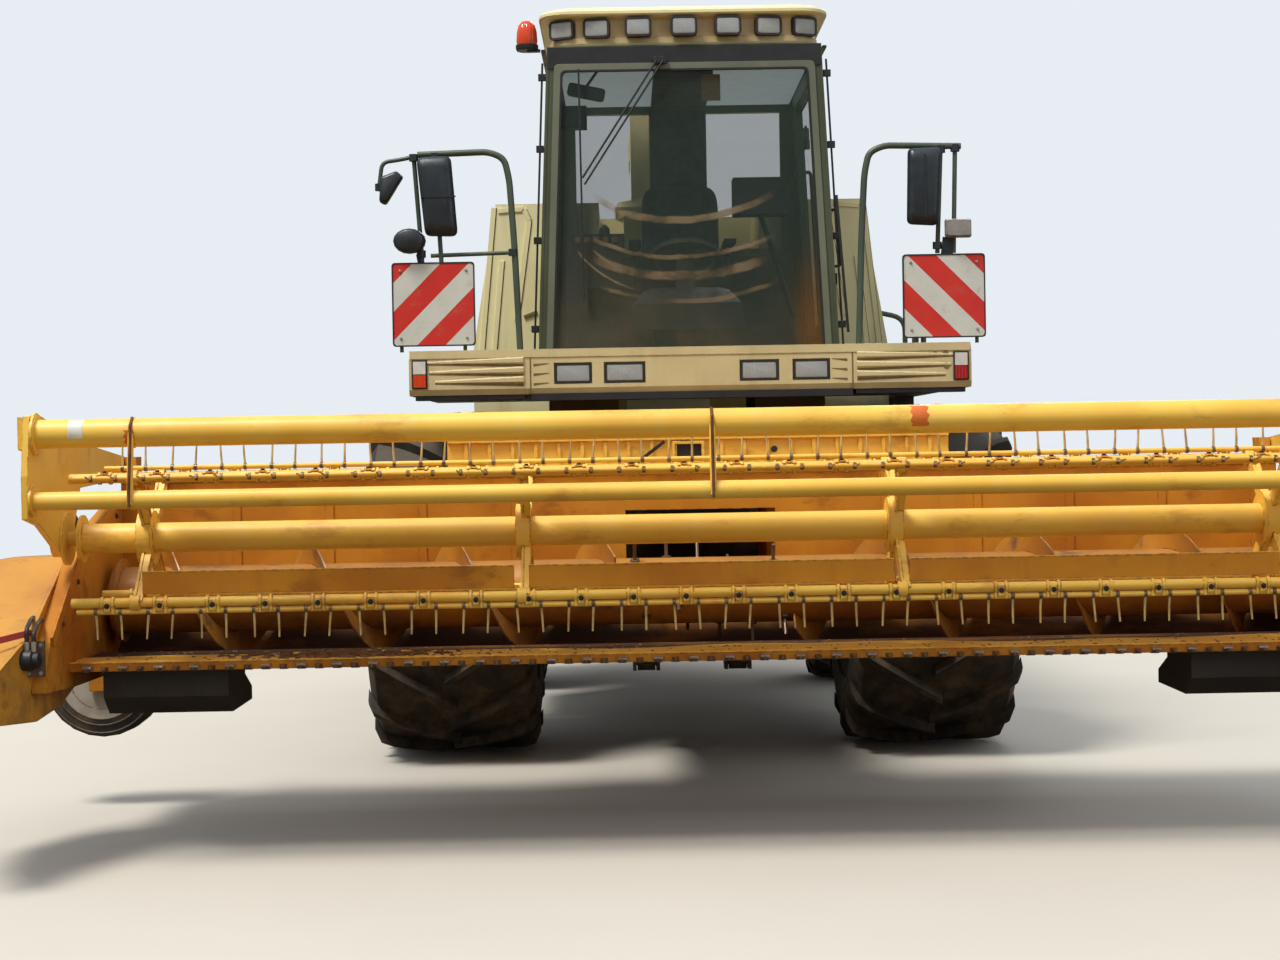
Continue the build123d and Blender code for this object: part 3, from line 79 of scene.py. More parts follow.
# Shapes
def curve(last, here, after, cut, steps):
    """Points of a corner that is cut off on both sides and curved between the cuts."""
    a = here + (last - here).normalized() * cut
    b = here + (after - here).normalized() * cut
    shares = [step / steps for step in range(steps + 1)]
    return [a * (1 - t) ** 2 + here * 2 * t * (1 - t) + b * t * t for t in shares]


def rounded(corners, radius, steps=4):
    """Flat outline with its corners rounded."""
    corners = [Vector(corner) for corner in corners]
    out = []
    for i, here in enumerate(corners):
        last = corners[i - 1]
        after = corners[(i + 1) % len(corners)]
        half = (last - here).angle(after - here) / 2
        cut = min(radius / math.tan(half), (last - here).length * 0.49, (after - here).length * 0.49)
        out += curve(last, here, after, cut, steps)
    return out


def bowed(corners, radius=0.1, steps=6):
    """Path in space whose inner corners are rounded."""
    corners = [Vector(corner) for corner in corners]
    path = [corners[0]]
    for last, here, after in zip(corners, corners[1:], corners[2:]):
        cut = min(radius, (last - here).length * 0.45, (after - here).length * 0.45)
        path += curve(last, here, after, cut, steps)
    return path + [corners[-1]]


def frame_of(x, z):
    """Corners of a rectangle from its limits."""
    return [(x[0], z[0]), (x[1], z[0]), (x[1], z[1]), (x[0], z[1])]


def span(side, a, b):
    """Limits of a stretch across the machine, on one side of it."""
    return tuple(sorted((side * a, side * b)))


def facing_front(outline, y):
    return [(p[0], y, p[1]) for p in outline]


def facing_up(outline, z):
    return [(p[0], p[1], z) for p in outline]


def front_panel(x, z, y, radius=0.0):
    """Upright rectangle from its limits, with its corners rounded if there is a radius."""
    corners = frame_of(x, z)
    return facing_front(rounded(corners, radius) if radius else corners, y)


def top_panel(x, y, z, radius):
    """Level rectangle from its limits, with rounded corners."""
    return facing_up(rounded(frame_of(x, y), radius), z)


def spoke(angle):
    """Way out from a shaft that lies across the machine."""
    return Y * math.cos(angle) + Z * math.sin(angle)


def around(centre, across, up, count):
    """Evenly spaced places on a circle or an oval, whose half axes are two vectors."""
    angles = [2 * math.pi * i / count for i in range(count)]
    return [Vector(centre) + across * math.cos(a) + up * math.sin(a) for a in angles]


def bands(count, levels, closed=False):
    """Four-sided faces between neighbouring rings of equally many points."""
    faces = []
    for level in range(levels if closed else levels - 1):
        here = level * count
        after = (level + 1) % levels * count
        for i in range(count):
            j = (i + 1) % count
            faces.append((here + i, here + j, after + j, after + i))
    return faces


class Form:
    """Shapes of one piece, each with the slot of its finish."""

    def __init__(self):
        self.points = []
        self.faces = []
        self.slots = []

    def add(self, points, faces, slot=0):
        start = len(self.points)
        self.points.extend(tuple(p) for p in points)
        self.faces.extend([start + i for i in face] for face in faces)
        self.slots.extend([slot] * len(faces))

    def box(self, x, y, z, slot=0):
        """Square-edged block from its limits."""
        corners = [(a, b, c) for c in z for b in y for a in x]
        faces = [(0, 2, 3, 1), (4, 5, 7, 6), (0, 1, 5, 4), (2, 6, 7, 3), (0, 4, 6, 2), (1, 3, 7, 5)]
        self.add(corners, faces, slot)

    def bar(self, start, end, wide, deep, across=X, slot=0):
        """Square-edged bar between two points, with its width measured along `across`."""
        a = Vector(start)
        b = Vector(end)
        way = (b - a).normalized()
        side = (across - way * across.dot(way)).normalized() * wide / 2
        up = way.cross(side).normalized() * deep / 2
        ring = [side + up, side - up, -side - up, -side + up]
        self.loft([[a + p for p in ring], [b + p for p in ring]], slot)

    def plate(self, outline, thick, slot=0):
        """Flat outline of points, thickened along a vector."""
        near = [Vector(p) for p in outline]
        self.loft([near, [p + thick for p in near]], slot)

    def loft(self, rings, slot=0, caps=True):
        """Skin over rings of equally many points."""
        count = len(rings[0])
        faces = bands(count, len(rings))
        if caps:
            faces.append(tuple(range(count))[::-1])
            faces.append(tuple(range((len(rings) - 1) * count, len(rings) * count)))
        self.add([p for ring in rings for p in ring], faces, slot)

    def rim(self, outer, inner, thick, slot=0):
        """Flat frame between two outlines of equally many points."""
        outer = [Vector(p) for p in outer]
        inner = [Vector(p) for p in inner]
        loops = [outer, inner, [p + thick for p in inner], [p + thick for p in outer]]
        self.add([p for loop in loops for p in loop], bands(len(outer), 4, True), slot)

    def tube(self, path, radius, sides=12, slot=0):
        """Round tube along points. The radius is one number, or one for each point."""
        path = [Vector(p) for p in path]
        last = len(path) - 1
        radii = radius if isinstance(radius, list) else [radius] * len(path)
        across = None
        rings = []
        for i, p in enumerate(path):
            way = (path[min(i + 1, last)] - path[max(i - 1, 0)]).normalized()
            if across is None:
                across = way.orthogonal()
            across = (across - way * across.dot(way)).normalized()
            rings.append(around(p, across * radii[i], way.cross(across) * radii[i], sides))
        self.loft(rings, slot)

    def turn(self, profile, centre, axis, sides=48, slot=0, loop=False):
        """Turned shape from (along the axis, radius) points."""
        across = axis.orthogonal().normalized()
        up = axis.cross(across)
        rings = []
        for along, radius in profile + (profile[:1] if loop else []):
            rings.append(around(Vector(centre) + axis * along, across * radius, up * radius, sides))
        self.loft(rings, slot, not loop)

    def disc(self, centre, axis, radius, low, high, sides=24, slot=0):
        """Plain round between two places along its axis."""
        self.turn([(low, radius), (high, radius)], centre, axis, sides, slot)

    def bolt(self, place, axis, size=0.012, slot=0):
        """Six-sided bolt head on a washer."""
        axis = axis.normalized()
        self.disc(place, axis, size * 1.25, 0, size * 0.25, 14, slot)
        self.turn([(size * 0.2, size), (size * 0.85, size), (size, size * 0.8)], place, axis, 6, slot)


def add_piece(name, mesh, body, finishes):
    """Smooth-shaded object of a mesh, riding on a body."""
    for finish in finishes:
        mesh.materials.append(finish)
    mesh.polygons.foreach_set("use_smooth", [True] * len(mesh.polygons))
    thing = bpy.data.objects.new(name, mesh)
    bpy.context.collection.objects.link(thing)
    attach(thing, body)
    return thing


def make(name, form, body, finishes, bevel=0.0, sharp=32, instead=(), segments=2):
    """Piece of a form. It stands instead of the nodes named, if there are any."""
    mesh = bpy.data.meshes.new(name)
    mesh.from_pydata([(x, aft(y), z) for x, y, z in form.points], [], form.faces)
    work = bmesh.new()
    work.from_mesh(mesh)
    bmesh.ops.recalc_face_normals(work, faces=work.faces)
    work.to_mesh(mesh)
    work.free()
    thing = add_piece(name, mesh, body, finishes)
    mesh.polygons.foreach_set("material_index", form.slots)
    mesh.set_sharp_from_angle(angle=math.radians(sharp))
    if bevel:
        edge = thing.modifiers.new("edge", "BEVEL")
        edge.width = bevel
        edge.segments = segments
        edge.limit_method = "ANGLE"
        edge.angle_limit = math.radians(40)
        edge.harden_normals = True
    if instead:
        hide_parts(*instead)


# Materials. A colour of three numbers is as it shows on a screen; one of four is linear.
DUST = (150, 132, 102)
BACKDROP = (0.80, 0.85, 0.90, 1)


def linear(shown):
    """Linear colour of one that is given as it shows on a screen."""
    parts = [v / 255 for v in shown]
    return (*[v / 12.92 if v <= 0.04045 else ((v + 0.055) / 1.055) ** 2.4 for v in parts], 1)


class Nodes:
    """Short calls for the node tree of a material or of the world."""

    def __init__(self, owner):
        owner.use_nodes = True
        self.owner = owner
        self.tree = owner.node_tree
        self.shader = self.tree.nodes.get("Principled BSDF")
        self.coordinates = self.make("ShaderNodeTexCoord").outputs
        self.place = self.coordinates["Object"]

    def make(self, kind, **settings):
        node = self.tree.nodes.new(kind)
        for key, value in settings.items():
            setattr(node, key, value)
        return node

    def feed(self, socket, value):
        if isinstance(value, bpy.types.NodeSocket):
            self.tree.links.new(value, socket)
        else:
            socket.default_value = linear(value) if isinstance(value, tuple) and len(value) == 3 else value

    def set(self, **values):
        """Values of the shader's own sockets."""
        for key, value in values.items():
            self.feed(self.shader.inputs[key.replace("_", " ")], value)

    def noise(self, scale, detail=4.0, rough=0.55, stretch=None):
        vector = self.place
        if stretch:
            mapping = self.make("ShaderNodeMapping")
            self.feed(mapping.inputs["Vector"], vector)
            mapping.inputs["Scale"].default_value = stretch
            vector = mapping.outputs["Vector"]
        node = self.make("ShaderNodeTexNoise")
        for key, value in (("Vector", vector), ("Scale", scale), ("Detail", detail), ("Roughness", rough)):
            self.feed(node.inputs[key], value)
        return node.outputs["Fac"]

    def patches(self, scale, detail, low, high, rough=0.55, stretch=None):
        """Noise with soft-edged patches between two of its levels."""
        return self.ramp(self.noise(scale, detail, rough, stretch), low, high)

    def ramp(self, value, low, high, low_out=0.0, high_out=1.0):
        node = self.make("ShaderNodeMapRange", interpolation_type="SMOOTHSTEP")
        keys = ("Value", "From Min", "From Max", "To Min", "To Max")
        for key, number in zip(keys, (value, low, high, low_out, high_out)):
            self.feed(node.inputs[key], number)
        return node.outputs["Result"]

    def math(self, operation, a, b=0.0):
        node = self.make("ShaderNodeMath", operation=operation)
        self.feed(node.inputs[0], a)
        self.feed(node.inputs[1], b)
        return node.outputs[0]

    def times(self, first, *others):
        for other in others:
            first = self.math("MULTIPLY", first, other)
        return first

    def most(self, a, b):
        return self.math("MAXIMUM", a, b)

    def mix(self, share, a, b):
        node = self.make("ShaderNodeMix", data_type="RGBA")
        for socket, value in (("Factor", share), (6, a), (7, b)):
            self.feed(node.inputs[socket], value)
        return node.outputs[2]

    def blend(self, share, a, b):
        """Shader between two shaders."""
        node = self.make("ShaderNodeMixShader")
        for socket, value in enumerate((share, a, b)):
            self.feed(node.inputs[socket], value)
        return node.outputs[0]

    def split(self, vector=None):
        node = self.make("ShaderNodeSeparateXYZ")
        self.feed(node.inputs[0], vector or self.place)
        return node.outputs

    def facing_up(self):
        """How far the surface faces up."""
        return self.split(self.make("ShaderNodeNewGeometry").outputs["Normal"])["Z"]

    def edges(self, reach=0.008, low=0.004, high=0.08):
        """Where the surface turns sharply and paint wears first."""
        soft = self.make("ShaderNodeBevel", samples=4)
        soft.inputs["Radius"].default_value = reach
        dot = self.make("ShaderNodeVectorMath", operation="DOT_PRODUCT")
        self.feed(dot.inputs[0], soft.outputs["Normal"])
        self.feed(dot.inputs[1], self.make("ShaderNodeNewGeometry").outputs["Normal"])
        return self.ramp(self.math("SUBTRACT", 1.0, dot.outputs["Value"]), low, high)

    def bump(self, height, strength=0.3, distance=0.002):
        node = self.make("ShaderNodeBump")
        for key, value in (("Height", height), ("Strength", strength), ("Distance", distance)):
            self.feed(node.inputs[key], value)
        self.set(Normal=node.outputs["Normal"])


def paint(name, colour, shade, chip, dust=DUST, rough=0.42, wear=0.5, dirt=0.4, low=0.6, reach=0.8,
          patches=0.0, patch_colour=DUST, coat=0.12, trodden_and_shaded=None):
    """Paint of uneven tone with chipped edges, worn patches, and dust that thickens towards the ground.

    The colour given for the table's floor is laid behind its front, where crop has rubbed the paint; it is
    darker than that wear alone, as painted shade on the floor.
    """
    n = Nodes(bpy.data.materials.new(name))
    here = n.mix(n.patches(1.7, 5, 0.35, 0.7), colour, shade)
    here = n.mix(n.times(n.patches(9, 4, 0.52, 0.75, stretch=(1, 1, 0.12)), 0.22), here, dust)
    if patches:
        worn = n.patches(4.5, 8, 0.56, 0.66, 0.68, (0.5, 1, 1))
        here = n.mix(n.times(worn, patches), here, patch_colour)
    ground = n.ramp(n.split()["Z"], low, low + reach, 1.0, 0.1)
    dusty = n.times(ground, n.patches(6, 6, 0.38, 0.7, 0.65), dirt)
    # Up-facing surfaces take the dust colour too; where that colour is paler than the paint, it is a painted
    # highlight on the tops.
    cover = n.most(dusty, n.times(n.ramp(n.facing_up(), 0.4, 0.95), dirt * 0.4))
    here = n.mix(cover, here, dust)
    dull = n.ramp(cover, 0, 0.5, rough, 0.8)
    # Low on the floor behind the front, rubbed paint that is also darker as painted shade.
    if trodden_and_shaded:
        wander = n.times(n.math("SUBTRACT", n.noise(7, 5), 0.5), 0.25)
        behind_lip = n.ramp(n.math("ADD", n.split()["Y"], wander), aft(-2.72), aft(-2.62))
        low_down = n.times(n.ramp(n.split()["Z"], 0.90, 1.02, 1.0, 0.0), behind_lip)
        rubbed = n.ramp(n.noise(3.2, 7, 0.66, stretch=(0.35, 1, 1)), 0.30, 0.52, 0.55, 1.0)
        here = n.mix(n.times(low_down, rubbed, n.ramp(n.facing_up(), 0.2, 0.7)), here, trodden_and_shaded)
        dull = n.most(dull, n.times(low_down, 0.95))
        n.set(Specular_IOR_Level=0.18)
    chipped = n.times(n.edges(), n.patches(30, 6, 0.42, 0.6, 0.7), wear)
    n.set(Base_Color=n.mix(chipped, here, chip), Roughness=dull, Coat_Weight=coat, Coat_Roughness=0.42)
    n.bump(n.noise(110, 3), 0.1, 0.001)
    return n.owner


def plain(name, colour, second, rough=0.6, metal=0.0, scale=14, grain=90, bump=0.2, dust=0.0):
    """Plastic, rubber or bare metal with a second tone in patches and a fine grain."""
    n = Nodes(bpy.data.materials.new(name))
    here = n.mix(n.patches(scale, 5, 0.35, 0.7), colour, second)
    if dust:
        here = n.mix(n.times(n.patches(5, 6, 0.4, 0.72, 0.65), dust), here, DUST)
    uneven = n.ramp(n.noise(scale * 2, 4), 0.3, 0.7, max(rough - 0.08, 0.02), rough + 0.12)
    n.set(Base_Color=here, Roughness=uneven, Metallic=metal)
    n.bump(n.noise(grain, 3), bump, 0.001)
    return n.owner


def lens_material(name, colour, second, rough, alpha, ribs):
    """Ribbed lens of a lamp."""
    n = Nodes(bpy.data.materials.new(name))
    n.set(Base_Color=n.mix(n.noise(3, 3), colour, second), Roughness=rough, Alpha=alpha, IOR=1.5)
    wave = n.make("ShaderNodeTexWave", wave_type="BANDS", bands_direction="X")
    n.feed(wave.inputs["Vector"], n.place)
    n.feed(wave.inputs["Scale"], ribs)
    n.bump(wave.outputs["Fac"], 0.5, 0.003)
    return n.owner


cream = paint("cream_paint", (243, 233, 182), (234, 221, 166), (140, 126, 96), dirt=0.25, low=0.9, wear=0.25)
cream_dusty = paint("bumper_paint", (220, 204, 154), (206, 188, 140), (130, 112, 84), low=1.7, reach=0.6)
# Darker cream for the roof's fascia: painted shade under the roof's lip.
cream_painted_shade = paint("cream_painted_shade_paint", (206, 184, 134), (184, 160, 116), (120, 106, 80))
# Header paint. Its pale dust colour, which also covers up-facing surfaces, makes the tops paler as a painted
# highlight as well as dust.
yellow = paint("header_paint", (250, 202, 78), (240, 182, 60), (110, 62, 28), (238, 208, 132), rough=0.48,
               wear=0.9, dirt=0.3, reach=0.5, patches=0.4, patch_colour=(186, 112, 40), coat=0.25)
# Darker, more orange copy of the header paint for the table; on the reel's stiffening plates it is painted
# shade.
yellow_deep = paint("table_paint", (214, 144, 44), (186, 114, 34), (96, 50, 24), (120, 78, 42), rough=0.55,
                    wear=1.0, dirt=0.6, low=0.72, reach=0.45, patches=0.6, patch_colour=(146, 84, 34),
                    coat=0.0, trodden_and_shaded=(70, 53, 43))
# Bright, clean copy of the header paint: a painted pool of sunlight on the table's front.
lip_sunlight_skin = paint("lip_painted_sunlight", (250, 206, 84), (240, 186, 66), (120, 70, 34), (170, 118, 56), rough=0.45,
                 wear=0.8, dirt=0.2, low=0.3, reach=0.3, patches=0.5, patch_colour=(170, 108, 44), coat=0.3)
# Darker, more orange copy of the header paint: worn paint and partly painted shade on the dividers.
divider_skin = paint("divider_paint", (222, 160, 52), (194, 128, 42), (96, 54, 28), (116, 76, 44), rough=0.5,
                     wear=0.8, dirt=0.6, low=0.5, patches=0.6, patch_colour=(126, 84, 44))
skid_skin = paint("skid_paint", (44, 38, 33), (34, 30, 27), (96, 66, 46), (88, 72, 56), rough=0.6, wear=0.6,
                  dirt=0.35, low=0.5, reach=0.3)
# Darker copy of the header paint with heavy brownish patches: wear from the crop and partly painted shade on
# the auger.
auger_skin = paint("auger_paint", (196, 134, 46), (150, 98, 40), (88, 58, 40), (86, 66, 56), rough=0.38,
                   wear=1.0, dirt=0.5, low=0.8, reach=0.5, patches=0.8, patch_colour=(98, 74, 60), coat=0.2)
engine_cast = paint("engine_paint", (92, 98, 92), (74, 78, 72), (120, 84, 56), (96, 82, 62), rough=0.5,
                    wear=0.7, dirt=0.7, low=1.4, reach=1.0)
green = paint("frame_paint", (70, 84, 70), (56, 70, 58), (118, 120, 104), wear=0.35)
olive = paint("cab_post_paint", (76, 84, 62), (60, 68, 50), (118, 116, 96), wear=0.3, dirt=0.2)
olive_rim = paint("cab_rim_paint", (112, 118, 100), (96, 102, 86), (70, 72, 62), wear=0.3, dirt=0.25)
white_rim = paint("pale_rim_paint", (186, 180, 168), (150, 144, 132), (120, 84, 56), (128, 108, 84),
                  wear=0.8, dirt=0.6, low=0.2, reach=0.9)
chassis = paint("chassis_paint", (52, 48, 43), (38, 36, 33), (104, 66, 42), rough=0.6, wear=0.7, dirt=0.6,
                low=0.3, reach=1.3)
rubber = paint("tyre_rubber", (50, 47, 44), (40, 38, 36), (92, 84, 74), (124, 106, 82), rough=0.75, wear=0.4,
               dirt=0.75, low=0.0, reach=1.5)
red_paint = paint("red_guard_paint", (186, 52, 34), (164, 40, 28), (80, 50, 36))
bare = plain("worn_steel", (104, 88, 74), (132, 116, 100), 0.45, 0.7, dust=0.4)
bright = plain("bright_steel", (196, 192, 184), (160, 152, 140), 0.35, 0.85)
chrome = plain("rod_chrome", (214, 214, 210), (196, 196, 194), 0.16, 1.0, bump=0.02)
iron = plain("engine_iron", (74, 74, 72), (54, 54, 52), 0.6, 0.3, dust=0.5)
dark = plain("dark_plastic", (36, 38, 40), (28, 30, 32), 0.5)
mirror_back = plain("mirror_housing", (40, 48, 54), (30, 36, 42), 0.38)
seal = plain("rubber_seal", (26, 27, 26), (34, 35, 33), 0.65)
bezel = plain("lamp_bezel", (52, 42, 36), (38, 32, 30), 0.5)
reflector = plain("lamp_reflector", (226, 226, 222), (196, 198, 196), 0.18, 0.9, scale=40)
lamp_dish = plain("lamp_dish", (150, 152, 144), (112, 114, 106), 0.3, 0.6, scale=30)
lamp_painted_glint = plain("lamp_painted_glint", (252, 252, 246), (238, 240, 236), 0.25)
fabric = plain("seat_fabric", (58, 58, 62), (42, 42, 46), 0.9, grain=420, bump=0.5)
inside = plain("cab_inside", (66, 62, 54), (52, 48, 42), 0.7)
soil = plain("dried_soil", (132, 98, 62), (100, 70, 44), 0.95, grain=60, bump=0.9)
rust = plain("rusty_iron", (126, 74, 40), (92, 54, 32), 0.8, 0.2, grain=120, bump=0.4)
orange_patch = plain("orange_patch", (226, 120, 32), (206, 98, 26), 0.55)
white_plastic = plain("white_plastic", (226, 224, 214), (206, 204, 196), 0.45)
brown_shadow = plain("groove_shadow", (128, 108, 66), (108, 90, 54), 0.7)
brown_card = plain("brown_card", (132, 104, 66), (112, 88, 56), 0.7)
headlining = plain("headlining", (236, 242, 244), (222, 232, 236), 0.8)
floor_mat = plain("floor_mat", (48, 46, 42), (60, 56, 50), 0.9)
tine_steel = plain("tine_steel", (214, 184, 118), (170, 136, 84), 0.5, 0.1)
grey_case = plain("grey_lamp_case", (150, 146, 142), (128, 124, 122), 0.5)
lens = lens_material("lamp_lens", (232, 236, 236), (214, 220, 222), 0.08, 0.35, 26)
orange = lens_material("orange_lens", (232, 78, 30), (214, 62, 24), 0.15, 0.92, 20)
red_lens = lens_material("red_lens", (186, 30, 24), (166, 24, 20), 0.15, 0.95, 20)

# Painted light: the headlining glows faintly in a sky tint, in place of daylight through the glass
lining_inputs = headlining.node_tree.nodes["Principled BSDF"].inputs
lining_inputs["Emission Color"].default_value = (0.52, 0.68, 0.74, 1)
lining_inputs["Emission Strength"].default_value = 0.32


def cab_glass_material():
    """Tinted panes. The windscreen has dust low down and in a corner, and paler, more opaque marks in arcs.
    """
    n = Nodes(bpy.data.materials.new("cab_glass_tint"))
    place = n.split()
    x = place["X"]
    z = place["Z"]
    front = n.ramp(place["Y"], aft(-0.70), aft(-0.62), 1.0, 0.0)
    wobble = n.times(n.math("SUBTRACT", n.noise(2.6, 4), 0.5), 0.06)

    def from_point(px, pz):
        across = n.math("SUBTRACT", x, px)
        up = n.math("SUBTRACT", z, pz)
        squares = n.math("ADD", n.times(across, across), n.times(up, up))
        return n.math("ADD", n.math("SQRT", squares), wobble)

    def ring(reach, radius, half):
        return n.ramp(n.math("ABSOLUTE", n.math("SUBTRACT", reach, radius)), half * 0.4, half, 1.0, 0.0)

    wide_arcs = ((0.93, 0.026, 1.0), (1.13, 0.016, 0.8), (1.23, 0.034, 0.8), (1.36, 0.018, 0.6))
    reach = from_point(-0.02, 3.80)
    dust = 0.0
    for radius, half, depth in wide_arcs:
        dust = n.most(n.times(ring(reach, radius, half), depth), dust)
    dust = n.times(dust, n.ramp(n.math("ABSOLUTE", n.math("SUBTRACT", x, -0.02)), 0.36, 0.52, 1.0, 0.0))
    small_arcs = ((0.50, 0.010), (0.57, 0.008))
    left = from_point(-0.12, 3.05)
    side = n.times(n.ramp(x, -0.24, -0.30), n.ramp(z, 2.66, 2.74, 1.0, 0.0))
    for radius, half in small_arcs:
        dust = n.most(n.times(ring(left, radius, half), side, 0.9), dust)
    dust = n.times(dust, n.ramp(n.noise(5, 5), 0.34, 0.6, 0.25, 1.0))
    haze = n.times(n.ramp(z, 2.12, 3.02, 1.0, 0.0), n.ramp(n.noise(2.4, 6), 0.3, 0.75, 0.35, 1.0))
    corner = n.times(n.ramp(x, 0.46, 0.66), n.ramp(z, 2.2, 2.95, 1.0, 0.0))
    low_edge = n.ramp(z, 2.13, 2.22, 0.8, 0.0)
    film = n.most(n.times(haze, 0.5), n.most(n.times(corner, 0.75), low_edge))
    dusty = n.times(n.most(dust, n.times(film, 0.6)), front)
    colour = n.mix(n.ramp(x, 0.44, 0.66), (128, 114, 88), (122, 88, 48))
    n.set(Base_Color=n.mix(n.ramp(dusty, 0.0, 0.4), (66, 82, 76), colour), IOR=1.5,
          Alpha=n.ramp(dusty, 0, 1, 0.24, 0.74), Roughness=n.ramp(dusty, 0, 1, 0.02, 0.5))
    return n.owner


def stripe_material():
    """Slanted red and white stripes, falling outwards on both plates."""
    n = Nodes(bpy.data.materials.new("warning_stripes"))
    place = n.split()
    first_edge = 4.233
    width = 0.148
    along = n.math("SUBTRACT", first_edge, n.math("ADD", n.math("ABSOLUTE", place["X"]), place["Z"]))
    stripe = n.math("FLOORED_MODULO", n.math("DIVIDE", along, width), 2.0)
    red = n.mix(n.noise(7, 5), (196, 38, 40), (222, 62, 46))
    pale = n.mix(n.noise(9, 5), (222, 222, 214), (196, 200, 192))
    here = n.mix(n.ramp(stripe, 0.99, 1.01), red, pale)
    grime = n.times(n.patches(14, 6, 0.55, 0.75, 0.7), 0.35)
    n.set(Base_Color=n.mix(grime, here, DUST), Roughness=0.35)
    n.bump(n.noise(300, 2), 0.08, 0.0005)
    return n.owner


# Finishes of the CAD nodes, by slot and, where a node differs, by its name
finish_of = {
    "cream_body": cream,
    "header_yellow": yellow,
    "dark_green": green,
    "chassis_dark": chassis,
    "engine_iron": iron,
    "worn_steel": bare,
    "rod_chrome": chrome,
    "barrel_paint": chassis,
    "tyre_rubber": rubber,
    "rim_paint": cream,
    "clear_glass": cab_glass_material(),
    "lamp_glass": lens,
    "beacon_orange": orange,
    "warning_sheet": stripe_material(),
    "seat_fabric": fabric,
    "inside_plastic": inside,
    "cab_shell": olive,
    "cab_door": olive,
    "header_frame": yellow_deep,
    "auger": auger_skin,
    "front_bumper": cream_dusty,
    "crop_dividers": divider_skin,
    "header_skids": skid_skin,
    "feed_housing": yellow_deep,
}
for entry in frame["record"]["subparts"]:
    materials = bpy.data.objects[entry["node"]].data.materials
    materials.clear()
    materials.append(finish_of.get(entry["node"], finish_of[entry["material_slot"]]))

# Wheels: ribbed carcass, slanted lugs in two rows, bolts, hub and valve
LUGS = 16
LUG_SLANT = math.tan(math.radians(36))
# Side wall from the bead to the shoulder: share of the half width, share of the wall, further out
WALL = ((0.72, 0, 0), (0.80, 0, 0.02), (0.88, 0, 0.09), (0.98, 0.42, 0), (1.0, 0.6, 0), (0.97, 0.82, 0),
        (0.88, 1, -0.022), (0.6, 1, -0.006))
# Lug from past the middle back over the shoulder: share of the half width, drop
STATIONS = ((-0.06, 0.0), (0.25, 0.0), (0.55, 0.004), (0.80, 0.012), (0.93, 0.028), (1.0, 0.095))


def add_carcass(form, centre, half, rim_radius, base):
    wall = base - rim_radius
    flank = [(half * share, rim_radius + wall * up + out) for share, up, out in WALL]
    profile = [(-along, r) for along, r in flank] + [(0, base)] + flank[::-1] + [(0, rim_radius - 0.004)]
    form.turn(profile, centre, X, 96, loop=True)
    # Thin rings moulded into the side walls
    for side in SIDES:
        for share, out in ((0.34, 0.965), (0.52, 0.995)):
            r = rim_radius + wall * share
            face = side * half * out
            foot = face - side * 0.01
            ring = [(foot, r - 0.006), (face + side * 0.004, r), (foot, r + 0.006)]
            form.turn(ring, centre, X, 96, loop=True)


def add_lugs(form, centre, half, radius, base, lug_height):
    lowest = math.pi + math.asin((0.06 * half * LUG_SLANT + lug_height * 0.4) / radius)
    half_top = lug_height * 0.40 / radius
    half_low = lug_height * 0.66 / radius
    for side in SIDES:
        for lug in range(LUGS):
            start = lowest - 2 * math.pi * (lug + (0.5 if side > 0 else 0)) / LUGS
            rings = []
            for share, drop in STATIONS:
                angle = start + math.atan2(share * half * LUG_SLANT, radius)
                top = radius - drop
                low = base - 0.03 - drop * 0.9
                corners = ((low, -half_low), (top, -half_top), (top, half_top), (low, half_low))
                middle = centre + X * side * share * half
                rings.append([middle + spoke(math.pi / 2 - angle - spread) * r for r, spread in corners])
            form.loft(rings)


# Axle, place across and along, radius, width, rim radius, lug height, face of the rim's disc
WHEELS = (("front", 1.29, 0.0, 0.945, 0.90, 0.415, 0.055, 0.115),
          ("rear", 1.20, 3.25, 0.73, 0.54, 0.385, 0.042, 0.075))
for axle, out, y, radius, width, rim_radius, lug_height, face in WHEELS:
    for side, hand in ((1, "left"), (-1, "right")):
        place = axle + "_" + hand
        centre = Vector((side * out, y, radius))
        base = radius - lug_height
        form = Form()
        add_carcass(form, centre, width / 2, rim_radius, base)
        add_lugs(form, centre, width / 2, radius, base, lug_height)
        make("lugged_tyre_" + place, form, "wheel_" + place, [rubber], bevel=0.004, sharp=38,
             instead=("tyre_" + place,), segments=1)
        form = Form()
        disc = centre + X * side * face
        for bolt in around(disc, Z * 0.20, Y * 0.20, 10):
            form.bolt(bolt, X * side, 0.017)
        form.turn([(0, 0.11), (0.05, 0.105), (0.06, 0.08), (0.075, 0.03)], disc, X * side, 40)
        valve = [disc + Vector((-side * 0.02, 0.235, 0.19)), disc + Vector((side * 0.06, 0.243, 0.193))]
        form.tube(valve, 0.006, 8)
        make("wheel_bolts_" + place, form, "wheel_" + place, [bare])

